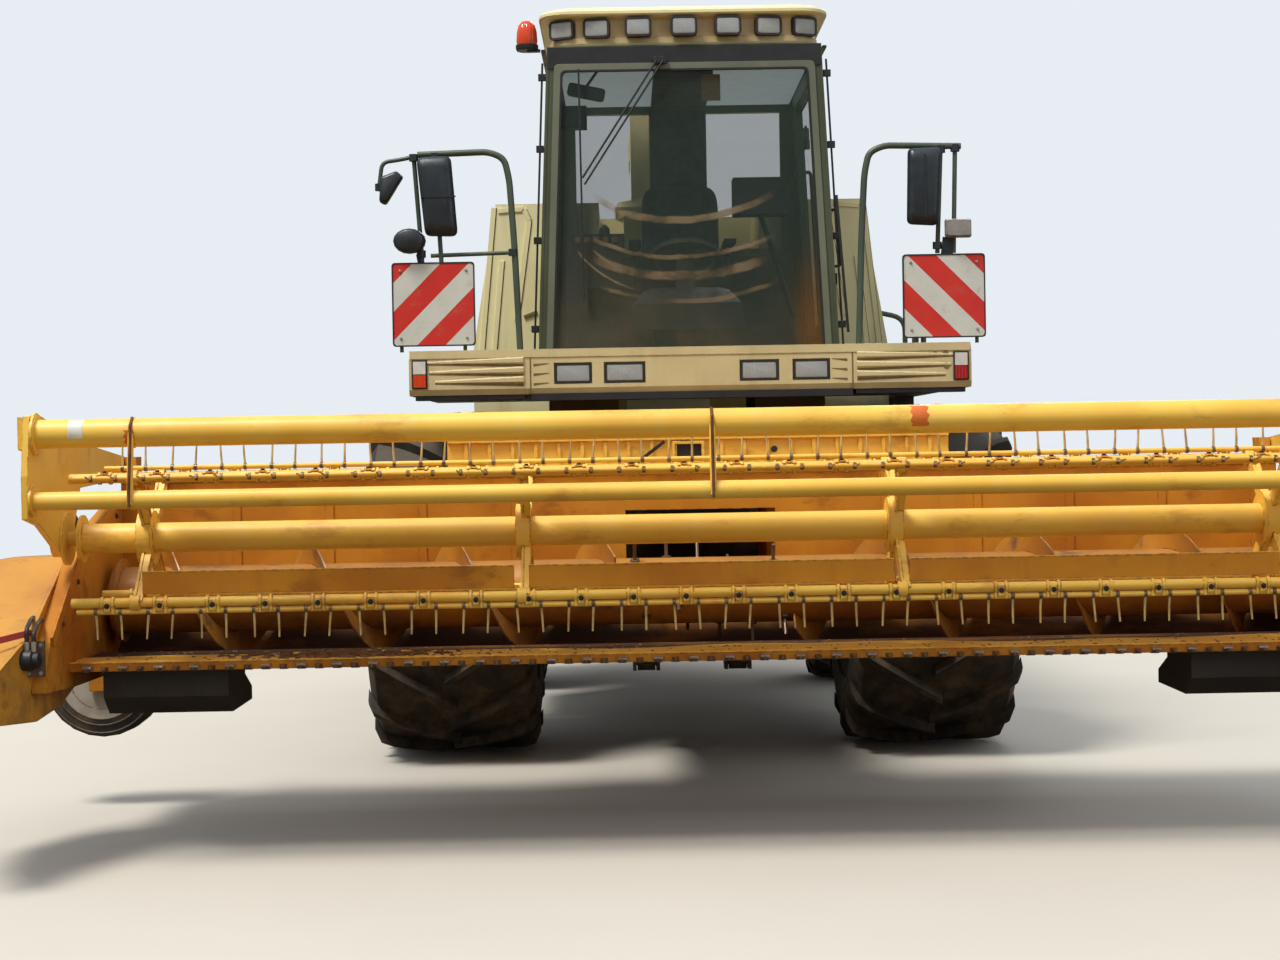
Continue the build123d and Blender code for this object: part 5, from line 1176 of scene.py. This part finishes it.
# Left rail: one mirror and a small lamp in a grey case
CASE = (((1.345, 1.465), (2.745, 2.825), RAIL_Y - 0.075, 0.012),
        ((1.335, 1.475), (2.735, 2.835), RAIL_Y - 0.03, 0.015),
        ((1.36, 1.45), (2.75, 2.82), RAIL_Y, 0.012))
form = Form()
main_rail(form, 1, 1.43)
rail(form, [(1.40, 3.21), (1.385, 2.66)], 0.012)
rail(form, [(1.325, 3.21), (1.30, 2.66)], 0.012)
for x in (1.50, 1.17):
    rail(form, [(x, 2.19), (x, 2.62)], 0.010, 10)
mirror(form, rounded([(1.14, 2.81), (1.30, 2.80), (1.325, 3.21), (1.15, 3.205)], 0.03), 0.055)
form.box((1.228, 1.236), (RAIL_Y - 0.079, RAIL_Y - 0.07), (2.84, 3.17), 1)
form.loft([front_panel(*ring) for ring in CASE], 3)
form.bar((1.36, RAIL_Y, 2.74), (1.345, RAIL_Y, 2.62), 0.06, 0.02, X, 1)
collars(form, ((1.30, 2.70), (1.40, 3.205), (1.325, 3.20)))
make("mirror_set_left", form, "machine", [green, mirror_back, reflector, grey_case], sharp=45,
     instead=("mirror_rail_left",))

# Frames and bolts of the warning plates
form = Form()
for side in SIDES:
    low, high = span(side, 1.117, 1.54)
    form.rim(front_panel((low - 0.004, high + 0.004), (2.218, 2.654), -0.868, 0.02),
             front_panel((low + 0.003, high - 0.003), (2.225, 2.647), -0.868, 0.018), Y * 0.014)
    for x in (low + 0.04, high - 0.04):
        for z in (2.26, 2.61):
            form.bolt((x, -0.866, z), -Y, 0.006, 1)
make("plate_frames", form, "machine", [dark, bright], bevel=0.001)

# Bumper: seams, tapering ribs with painted shadow strips for the grooves under them, top edge, three dark
# dots, lower skirt
FACE = -0.90
form = Form()
for x in (-0.83, 0.842):
    form.box((x - 0.004, x + 0.004), (FACE - 0.0015, FACE + 0.01), (1.962, 2.188), 1)
for side in SIDES:
    for z, length in ((2.125, 0.50), (2.075, 0.49), (2.025, 0.46)):
        a = side * 0.865
        b = side * (0.865 + length)
        form.loft([
            [(a, FACE, z - 0.010), (a, FACE - 0.012, z), (a, FACE - 0.012, z + 0.022), (a, FACE, z + 0.032)],
            [(b, FACE, z - 0.002), (b, FACE - 0.002, z), (b, FACE - 0.002, z + 0.006), (b, FACE, z + 0.012)],
        ])
        # Dark strip under each rib and a short one further in: painted shadow of the grooves.
        groove = [(a, z - 0.024), (b, z - 0.008), (b, z - 0.002), (a, z - 0.010)]
        c = side * 0.815
        d = side * 0.735
        notch = [(c, z - 0.022), (d, z - 0.010), (d, z - 0.006), (c, z - 0.008)]
        for outline in (groove, notch):
            form.plate(facing_front(outline, FACE), Y * -0.0012, 1)
    form.box(span(side, 0.86, 1.43), (FACE + 0.02, -0.80), (1.935, 1.962), 2)
form.loft([front_panel((-1.455, 1.455), (2.150, 2.192), FACE - 0.004),
           front_panel((-1.457, 1.457), (2.165, 2.194), FACE + 0.03)])
for x, z in ((1.27, 2.13), (1.325, 2.135), (1.33, 2.07)):
    form.disc((x, FACE, z), Y, 0.016, 0, -0.002, 20, 1)
form.box((-0.83, 0.842), (FACE + 0.004, -0.79), (1.925, 1.962), 2)
make("bumper_ribs", form, "machine", [cream_dusty, brown_shadow, dark], bevel=0.002)

# Creases pressed into the front of both fairings, each with a painted shadow line beside it, and a bracket
FAIRING = 0.860
CREASES = (((-1.110, 3.13), (-1.224, 2.00)), ((-1.067, 2.81), (-1.150, 2.00)),
           ((-0.899, 3.05), (-0.985, 2.45)), ((-1.085, 3.11), (-0.93, 3.12)), ((-0.93, 3.12), (-0.90, 3.05)))
form = Form()
for side in SIDES:
    for (x_a, z_a), (x_b, z_b) in CREASES:
        a = Vector((side * x_a, FAIRING, z_a))
        b = Vector((side * x_b, FAIRING, z_b))
        form.bar(a - Y * 0.003, b - Y * 0.003, 0.030, 0.010)
        shadow = Vector((0.017, -0.001, 0))
        form.bar(a + shadow, b + shadow, 0.005, 0.004, X, 1)
    form.bar((side * 0.86, FAIRING - 0.004, 2.50), (side * 0.94, FAIRING - 0.004, 2.47), 0.02, 0.014, Z, 1)
make("fairing_creases", form, "machine", [cream, brown_shadow], bevel=0.003)

# Transport wheel: pale dished rim with bolts, and ribs round the tyre
SPARE = Vector((-2.86, -1.71, 0.62))
DISH = [(-0.086, 0.200), (-0.092, 0.196), (-0.090, 0.150), (-0.040, 0.138), (-0.034, 0.060), (-0.060, 0.052),
        (-0.062, 0.010)]
form = Form()
form.turn(DISH, SPARE, Y, 40)
for bolt in around(SPARE - Y * 0.040, X * 0.085, Z * 0.085, 5):
    form.bolt(bolt, -Y, 0.011, 1)
for r in (0.225, 0.262):
    form.turn([(-0.088, r - 0.005), (-0.0915, r), (-0.088, r + 0.005)], SPARE, Y, 48, 2, loop=True)
make("header_wheel_rim", form, "header_wheel", [white_rim, bare, rubber], sharp=40)

# Beacon with its foot
BEACON = (-0.83, -0.60, 3.79)
DOME = [(0.03, 0.052), (0.05, 0.056), (0.10, 0.053), (0.135, 0.044), (0.155, 0.026), (0.16, 0.004)]
form = Form()
form.turn([(0, 0.055), (0.012, 0.06), (0.03, 0.06), (0.034, 0.05)], BEACON, Z, 28, 1)
form.turn(DOME, BEACON, Z, 32)
form.bar(BEACON, (-0.76, -0.60, 3.79), 0.04, 0.012, Y, 1)
make("beacon_dome", form, "machine", [orange, dark], sharp=50, instead=("beacon",))

# Engine body: fittings on its hood, round the exhaust's foot and on its rear wall
HOOD_TOP = 3.149
REAR = 5.046
EXHAUST = Vector((0.72, 3.0, 3.150))


def hood_half(z):
    """Half width of the engine body at a height."""
    return 1.25 if z <= 2.26 else 1.25 - 0.15 * (z - 2.26) / 0.89


form = Form()
# Seams and beads of the hood
for y in (2.86, 3.96):
    form.box((-1.085, 1.085), (y - 0.012, y + 0.012), (3.148, 3.160))
    form.box((-1.085, 1.085), (y + 0.012, y + 0.018), (3.149, 3.1515), 1)
for side in SIDES:
    form.bar((side * 1.075, 1.80, 3.152), (side * 1.075, 5.02, 3.152), 0.03, 0.012)
    for low, high in ((1.78, 2.045), (4.755, 5.045)):
        form.bar((side * 1.252, low, 2.26), (side * 1.252, high, 2.26), 0.008, 0.022)
# Air intake on the hood: raised frame round a screen of bars
form.rim(top_panel((-0.58, 0.58), (4.10, 4.86), HOOD_TOP, 0.05),
         top_panel((-0.52, 0.52), (4.16, 4.80), HOOD_TOP, 0.03), Z * 0.028)
form.box((-0.525, 0.525), (4.155, 4.805), (3.1495, 3.1525), 3)
for i in range(25):
    x = -0.50 + i * 0.0417
    form.box((x - 0.004, x + 0.004), (4.15, 4.81), (3.153, 3.166), 2)
for i in range(7):
    y = 4.20 + i * 0.0933
    form.box((-0.52, 0.52), (y - 0.003, y + 0.003), (3.158, 3.170), 2)
# Service lid with hinges and a grip
form.rim(top_panel((-0.95, 0.20), (3.02, 3.82), HOOD_TOP, 0.05),
         top_panel((-0.935, 0.185), (3.035, 3.805), HOOD_TOP, 0.04), Z * 0.002, 1)
form.plate(top_panel((-0.93, 0.18), (3.04, 3.80), 3.150, 0.04), Z * 0.010)
for x in (-0.75, 0.0):
    form.tube([(x - 0.05, 3.815, 3.160), (x + 0.05, 3.815, 3.160)], 0.009, 12, 2)
grip = [(-0.46, 3.09, 3.158), (-0.46, 3.09, 3.182), (-0.30, 3.09, 3.182), (-0.30, 3.09, 3.158)]
form.tube(bowed(grip, 0.012, 4), 0.006, 10, 2)
# Ring and clamp at the exhaust
form.turn([(0, 0.115), (0.006, 0.115), (0.012, 0.088)], EXHAUST, Z, 32, 2)
form.disc(EXHAUST + Z * 0.050, Z, 0.079, 0, 0.018, 32, 2)
form.bolt(EXHAUST + Vector((0, -0.085, 0.059)), -Y, 0.006, 2)
# Rear wall: frame round the slats, lid seam, hinges, latches, blank plate, steps, reflectors
form.rim(front_panel((-0.78, 0.78), (2.27, 2.97), REAR, 0.03),
         front_panel((-0.745, 0.745), (2.305, 2.935), REAR, 0.02), Y * 0.014)
form.rim(front_panel((-0.98, 0.98), (1.86, 3.06), REAR + 0.002, 0.05),
         front_panel((-0.972, 0.972), (1.868, 3.052), REAR + 0.002, 0.045), Y * 0.003, 1)
for x in (-0.62, 0.62):
    form.tube([(x - 0.06, 5.060, 3.068), (x + 0.06, 5.060, 3.068)], 0.011, 12, 2)
    latch = Vector((x, REAR + 0.003, 1.935))
    form.rim(around(latch, X * 0.055, Z * 0.036, 24), around(latch, X * 0.045, Z * 0.027, 24), Y * 0.010, 2)
    form.bar((x - 0.036, 5.056, 1.935), (x + 0.036, 5.056, 1.935), 0.012, 0.018, Y, 3)
form.box((-0.25, 0.25), (5.049, 5.054), (2.02, 2.13), 3)
form.box((-0.24, 0.24), (5.053, 5.058), (2.03, 2.12))
for x in (-0.20, 0.20):
    form.bolt((x, 5.058, 2.075), Y, 0.005, 2)
for z in (2.20, 2.50, 2.80):
    step = [(0.86, 5.045, z), (0.86, 5.085, z), (1.02, 5.085, z), (1.02, 5.045, z)]
    form.tube(bowed(step, 0.015, 4), 0.009, 10, 2)
for x in (-1.15, 1.15):
    form.box((x - 0.03, x + 0.03), (5.049, 5.055), (1.84, 1.90), 4)
for i in range(9):
    form.bolt((-1.16 + i * 0.29, 5.049, 1.645), Y, 0.006, 2)
make("hood_fittings", form, "machine", [cream, brown_shadow, bare, dark, red_lens], bevel=0.0015)


# Service doors: seams, pressed bead, louvre frame, two latches and a row of bolts on each
def on_door(side, y, z, out=0.0):
    """Place on a door's outer face, or off it."""
    return Vector((side * (hood_half(z) + out), y, z))


def upright_bead(form, side, y, half, sunk, out, heights, slot):
    """Flat bead up a door's face, which bends with it."""
    ring = ((-half, -sunk), (-half, out), (half, out), (half, -sunk))
    form.loft([[on_door(side, y + along, z, off) for along, off in ring] for z in heights], slot)


# Ends along the door, height, how far out, width across, height of the bead, slot
LEVEL_BEADS = ((2.07, 4.73, 1.722, 0.0, 0.004, 0.010, 1), (2.08, 4.72, 2.26, 0.001, 0.012, 0.026, 0),
               (2.08, 4.72, 2.235, 0.0, 0.003, 0.006, 1), (3.327, 4.573, 2.34, 0.002, 0.010, 0.016, 0),
               (3.327, 4.573, 2.93, 0.002, 0.010, 0.016, 0))
for side, place in ((1, "left"), (-1, "right")):
    form = Form()
    for y in (2.062, 4.738):
        upright_bead(form, side, y, 0.005, 0.004, 0.002, (1.712, 2.26, 3.01), 1)
    for y in (3.335, 4.565):
        upright_bead(form, side, y, 0.008, 0.002, 0.006, (2.34, 2.93), 0)
    for low, high, z, out, wide, tall, slot in LEVEL_BEADS:
        form.bar(on_door(side, low, z, out), on_door(side, high, z, out), wide, tall, X, slot)
    for y in (2.62, 4.12):
        centre = on_door(side, y, 1.80)
        inner = around(centre, Y * 0.050, Z * 0.030, 24)
        form.rim(around(centre, Y * 0.062, Z * 0.040, 24), inner, X * side * 0.010, 2)
        form.plate(inner, X * side * 0.003, 3)
        middle = centre + X * side * 0.008
        form.bar(middle - Y * 0.038, middle + Y * 0.038, 0.010, 0.016, X, 3)
    for i in range(9):
        form.bolt(on_door(side, 2.22 + 0.30 * i, 1.752), X * side, 0.005, 2)
    make("service_door_fittings_" + place, form, "service_door_" + place, [cream, brown_shadow, bare, dark],
         bevel=0.001, segments=1)

# Spout: three flanges round its foot, and a ring of bolts under the turret
SPOUT_X = -0.08
SPOUT_Y = 1.30


def flange_edge(half_x, half_y, z):
    corners = frame_of((SPOUT_X - half_x, SPOUT_X + half_x), (SPOUT_Y - half_y, SPOUT_Y + half_y))
    return facing_up(corners, z)


form = Form()
for z in (1.78, 2.45, 3.12):
    form.rim(flange_edge(0.302, 0.262, z), flange_edge(0.284, 0.244, z), Z * 0.022)
make("spout_base_flanges", form, "machine", [cream, bare], bevel=0.002)
form = Form()
for bolt in around((SPOUT_X, SPOUT_Y, 3.168), X * 0.265, Y * 0.265, 20):
    form.bolt(bolt, Z, 0.008, 1)
make("turret_bolts", form, "turret", [cream, bare])


# Boom: ribs, two pipes with clamps along its top, and the flap's cylinder
def on_boom(x, y, up):
    """Place above or below the boom's top, counted across from its middle."""
    return Vector((SPOUT_X + x, y, 4.12 - 0.06 * (y - 1.642) / 3.15 + up))


form = Form()
for y in (2.10, 2.65, 3.20, 3.75, 4.30):
    form.bar(on_boom(-0.184, y, 0.003), on_boom(0.184, y, 0.003), 0.026, 0.010, Y)
    for side in SIDES:
        form.bar(on_boom(side * 0.184, y, 0.006), on_boom(side * 0.184, y, -0.18), 0.026, 0.010, Y)
for side in SIDES:
    form.tube([on_boom(side * 0.10, 2.2 + 0.05 * i, 0.010) for i in range(50)], 0.005, 8, 2)
for y in (2.10, 3.20, 4.30):
    low = on_boom(-0.12, y, 0.008)
    high = on_boom(0.12, y, 0.020)
    form.box((low.x, high.x), (y - 0.010, y + 0.010), (low.z, high.z), 1)
form.tube([on_boom(0, 3.60, 0.030), on_boom(0, 4.15, 0.030)], 0.022, 20, 1)
form.tube([on_boom(0, 4.15, 0.030), on_boom(0, 4.40, 0.030)], 0.011, 14, 3)
for y in (3.62, 4.38):
    form.bar(on_boom(-0.03, y, 0.012), on_boom(0.03, y, 0.012), 0.05, 0.030, Y)
make("boom_fittings", form, "boom", [cream, bare, seal, bright], bevel=0.0015)


# Cab from the sides: seals, lock plate, handles and gutters
def cab_side(side, y, z, out=0.0):
    """Place on the cab's tapered side, or off it."""
    return (side * (half_width(z) + out), y, z)


def side_seal(form, side, y, z):
    """Seal round an opening in the cab's side, from the limits of the opening."""
    inset = 0.03
    outer = rounded(frame_of(y, z), 0.05)
    inner = rounded(frame_of((y[0] + inset, y[1] - inset), (z[0] + inset, z[1] - inset)), 0.03)
    outer, inner = [[cab_side(side, *p, 0.001) for p in outline] for outline in (outer, inner)]
    form.rim(outer, inner, X * side * 0.004)


def side_handle(form, side, y, low, high, reach, feet, bend, radius, sides, slot):
    """Upright handle that stands off the cab's side."""
    path = [cab_side(side, y, low, feet), cab_side(side, y, low, reach), cab_side(side, y, high, reach),
            cab_side(side, y, high, feet)]
    form.tube(bowed(path, *bend), radius, sides, slot)


form = Form()
side_seal(form, 1, (-0.66, 0.62), (2.26, 3.66))
form.box((0.772, 0.795), (-0.655, -0.575), (2.52, 2.58), 1)
side_handle(form, 1, -0.615, 2.62, 2.92, 0.045, 0.0, (0.02, 4), 0.008, 10, 1)
make("cab_door_fittings", form, "cab_door", [seal, dark], bevel=0.001)
form = Form()
side_seal(form, -1, (-0.66, 0.68), (2.26, 3.66))
for side in SIDES:
    form.bar((side * 0.742, -0.70, 3.772), (side * 0.742, 0.78, 3.772), 0.022, 0.012, X, 1)
    side_handle(form, side, 0.765, 2.30, 3.30, 0.05, 0.004, (0.03, 5), 0.011, 12, 2)
make("cab_side_fittings", form, "machine", [seal, dark, olive], bevel=0.001)

# Handrails at the ladder's head, grip on its treads and on the deck
form = Form()
HANDRAIL_X = 1.43
hoop = [(HANDRAIL_X, y, z) for y, z in ((0.93, 1.985), (0.93, 2.70), (0.62, 2.70), (0.62, 1.985))]
form.tube(bowed(hoop, 0.09), 0.016, 14)
form.tube([(HANDRAIL_X, 0.93, 2.36), (HANDRAIL_X, 0.62, 2.36)], 0.012)
rear_rail = [(HANDRAIL_X, 1.43, 1.985), (HANDRAIL_X, 1.43, 2.46), (1.252, 1.43, 2.50)]
form.tube(bowed(rear_rail, 0.09), 0.016, 14)
for y in (0.62, 0.93, 1.43):
    form.disc((HANDRAIL_X, y, 2.0), Z, 0.034, 0, 0.008, 18)
for y in (1.02, 1.43):
    form.tube(bowed([(1.425, y, 1.90), (1.452, y, 1.78), (1.452, y, 1.00), (1.425, y, 0.90)], 0.05), 0.012)
for i in range(5):
    z = 0.50 + i * 0.30
    for j in range(9):
        y = 1.035 + j * 0.046
        form.box((1.303, 1.417), (y, y + 0.012), (z, z + 0.006), 1)
GRIP_REACH = 0.012
for side in SIDES:
    for i in range(12):
        for j in range(26):
            lean = GRIP_REACH if (i + j) % 2 else -GRIP_REACH
            middle = Vector((side * (0.855 + i * 0.050), -0.72 + j * 0.060, 2.001))
            half = Vector((GRIP_REACH, lean, 0))
            form.bar(middle - half, middle + half, 0.006, 0.005, Y, 1)
make("handrails", form, "machine", [green, bare], bevel=0.001)

# Engine behind the service doors. Crankcase: half width, half length, height, corner radius
ENGINE_Y = 3.70
CRANKCASE = ((0.22, 0.60, 1.35, 0.05), (0.26, 0.64, 1.50, 0.05), (0.31, 0.66, 1.56, 0.04),
             (0.31, 0.66, 1.80, 0.04), (0.26, 0.64, 1.86, 0.04), (0.24, 0.62, 2.06, 0.04))
HEAD = ((0.15, 0.085, 2.07), (0.15, 0.085, 2.15), (0.12, 0.06, 2.18))
PULLEYS = ((0.0, 1.62, 0.16), (0.0, 1.98, 0.11), (0.25, 1.86, 0.07), (-0.25, 1.80, 0.08))
BELT = ((-0.165, 1.62), (-0.33, 1.80), (-0.25, 1.885), (-0.05, 2.085), (0.05, 2.085), (0.25, 1.935),
        (0.325, 1.86), (0.165, 1.62), (0.0, 1.455))


def engine_ring(half, long, z, radius, y=ENGINE_Y):
    return top_panel((-half, half), (y - long, y + long), z, radius)


form = Form()
form.loft([engine_ring(*ring) for ring in CRANKCASE])
form.box((-0.33, 0.33), (3.03, 4.37), (1.545, 1.562), 1)
form.box((-0.26, 0.26), (3.07, 4.33), (2.055, 2.07), 1)
# Six heads, each with the ports of both manifolds and a cover lower down on both sides
for i in range(6):
    y = 3.19 + i * 0.20
    form.loft([engine_ring(half, long, z, 0.03, y) for half, long, z in HEAD])
    form.bolt((0, y, 2.18), Z, 0.014, 1)
    for side in SIDES:
        form.tube([(side * 0.22, y, 1.98), (side * 0.33, y, 1.99)], 0.030, 14, 0 if side < 0 else 2)
        form.box(span(side, 0.30, 0.325), (y - 0.07, y + 0.07), (1.60, 1.76))
        for along in (-0.055, 0.055):
            form.bolt((side * 0.325, y + along, 1.68), X * side, 0.010, 1)
for x, radius, slot in ((-0.345, 0.052, 0), (0.345, 0.045, 2)):
    form.tube([(x, 3.10, 1.99), (x, 4.26, 1.99)], radius, 20, slot)
# Turbocharger, air filter and the hose between them
turbo = [(-0.09, 0.05), (-0.07, 0.10), (0.0, 0.12), (0.02, 0.085), (0.06, 0.085), (0.08, 0.11), (0.14, 0.10),
         (0.16, 0.05)]
form.turn(turbo, (0.29, 3.62, 2.20), Y, 32, 2)
filter_can = [(-0.30, 0.12), (-0.28, 0.13), (0.25, 0.13), (0.26, 0.138), (0.30, 0.138), (0.31, 0.12)]
form.turn(filter_can, (-0.27, 3.75, 2.25), Y, 36, 3)
duct = [(-0.27, 3.46, 2.25), (-0.27, 3.32, 2.25), (0.10, 3.30, 2.27), (0.29, 3.40, 2.24), (0.29, 3.53, 2.20)]
form.tube(bowed(duct, 0.09), 0.042, 18, 3)
# Pulleys with their belt, and the bell housing at the other end
for x, z, r in PULLEYS:
    form.turn([(0, r), (0.02, r), (0.028, r - 0.012), (0.036, r), (0.056, r)], (x, 2.955, z), Y, 32, 1)
    form.tube([(x, 2.95, z), (x, 3.08, z)], 0.03, 16, 1)
outer = rounded(BELT, 0.06)
inner = [(x * 0.95, 1.80 + (z - 1.80) * 0.95) for x, z in outer]
form.rim(facing_front(outer, 2.972), facing_front(inner, 2.972), Y * 0.02, 3)
form.turn([(0, 0.30), (0.03, 0.34), (0.10, 0.34), (0.24, 0.26)], (0, 4.35, 1.72), Y, 48)
for bolt in around((0, 4.345, 1.72), X * 0.32, Z * 0.32, 12):
    form.bolt(bolt, -Y, 0.011, 1)
# Feet on the rails, and two oil filters
for y in (3.30, 4.10):
    for side in SIDES:
        form.box(span(side, 0.385, 0.475), (y - 0.06, y + 0.06), (1.351, 1.385), 1)
        form.bar((side * 0.28, y, 1.55), (side * 0.42, y, 1.38), 0.10, 0.018, Y, 1)
for y in (3.24, 3.42):
    form.turn([(0, 0.045), (0.10, 0.048), (0.12, 0.04)], (0.34, y, 1.64), Z, 24, 3)
    form.box((0.30, 0.38), (y - 0.05, y + 0.05), (1.755, 1.775), 1)
make("engine_detail", form, "machine", [engine_cast, bare, rust, dark], bevel=0.003,
     instead=("engine_block",))
form = Form()
pipe = [(0.29, 3.76, 2.20), (0.29, 3.90, 2.24), (0.56, 3.86, 2.50), (0.72, 3.40, 2.86), (0.72, 3.0, 2.92),
        (0.72, 3.0, 3.16)]
form.tube(bowed(pipe, 0.14), 0.045, 18)
make("exhaust_pipe", form, "machine", [rust])

# Floor, which fades into the backdrop far out and throws back a darker, warmer light than it shows
SIZE = 60
floor_mesh = bpy.data.meshes.new("floor")
floor_mesh.from_pydata(facing_up(frame_of((-SIZE, SIZE), (-SIZE, SIZE)), 0), [], [(0, 1, 2, 3)])
floor = bpy.data.objects.new("floor", floor_mesh)
bpy.context.collection.objects.link(floor)
n = Nodes(bpy.data.materials.new("floor_pale"))
seen = n.make("ShaderNodeLightPath").outputs["Is Camera Ray"]
pale = n.mix(n.noise(0.6, 3), (196, 190, 180), (206, 200, 190))
n.set(Base_Color=n.mix(seen, (108, 94, 76), pale), Roughness=0.85)
spread = n.make("ShaderNodeVectorMath", operation="LENGTH")
n.feed(spread.inputs[0], n.place)
far = n.times(n.ramp(spread.outputs["Value"], 7, 22), seen)
hidden = n.make("ShaderNodeEmission")
n.feed(hidden.inputs["Color"], BACKDROP)
surface = n.blend(far, n.shader.outputs[0], hidden.outputs[0])
n.feed(n.tree.nodes["Material Output"].inputs["Surface"], surface)
floor_mesh.materials.append(n.owner)

# World: soft light that fades downwards. The camera sees a plain backdrop, also through glass.
world = bpy.data.worlds.new("studio")
bpy.context.scene.world = world
n = Nodes(world)
fade = n.ramp(n.split(n.coordinates["Generated"])["Z"], -0.05, 0.55)
background = n.tree.nodes["Background"]
n.feed(background.inputs["Color"], n.mix(fade, (0.17, 0.17, 0.15, 1), (0.88, 0.94, 1.0, 1)))
n.feed(background.inputs["Strength"], 0.72)
shown = n.make("ShaderNodeBackground")
n.feed(shown.inputs["Color"], BACKDROP)
n.feed(shown.inputs["Strength"], 1.0)
rays = n.make("ShaderNodeLightPath").outputs
either = n.most(rays["Is Camera Ray"], rays["Is Transmission Ray"])
surface = n.blend(either, background.outputs[0], shown.outputs[0])
n.feed(n.tree.nodes["World Output"].inputs["Surface"], surface)

# Name, place, aim, power in watts, width, colour
STUDIO_LAMPS = (("key", (-12.5, -12.5, 31), (0, -2, 1.5), 11200, 9.5, (1, 0.97, 0.90)),
                ("fill", (8, -10, 5), (0, 0, 1.5), 130, 7, (0.9, 0.95, 1)),
                ("back", (3, 12, 10), (0, 1, 1.5), 500, 6, (1, 1, 1)))
for name, place, aim, power, width, colour in STUDIO_LAMPS:
    light = bpy.data.lights.new(name, "AREA")
    light.energy = power
    light.size = width
    light.color = colour
    thing = bpy.data.objects.new(name, light)
    thing.location = place
    thing.rotation_euler = (Vector(aim) - Vector(place)).to_track_quat("-Z", "Y").to_euler()
    bpy.context.collection.objects.link(thing)

# Camera, placed as it was for the photograph of 1280 by 960 pixels
PHOTO_WIDTH = 1280
FOCAL_PIXELS = 2100
SENSOR = 36
EYE = (-0.35, aft(-11.8), 1.67)
LOOK_RIGHT = math.radians(0.41)
LOOK_DOWN = math.radians(0.87)
ROLL = math.radians(-1.0)
camera_data = bpy.data.cameras.new("camera")
camera_data.sensor_width = SENSOR
camera_data.lens = FOCAL_PIXELS / PHOTO_WIDTH * SENSOR
camera_data.clip_end = 200
camera = bpy.data.objects.new("camera", camera_data)
bpy.context.collection.objects.link(camera)
aim = Matrix.Rotation(-LOOK_RIGHT, 4, "Z") @ Matrix.Rotation(math.pi / 2 - LOOK_DOWN, 4, "X")
camera.matrix_world = Matrix.Translation(EYE) @ aim @ Matrix.Rotation(ROLL, 4, "Z")
bpy.context.scene.camera = camera
bpy.context.scene.view_settings.view_transform = "Standard"
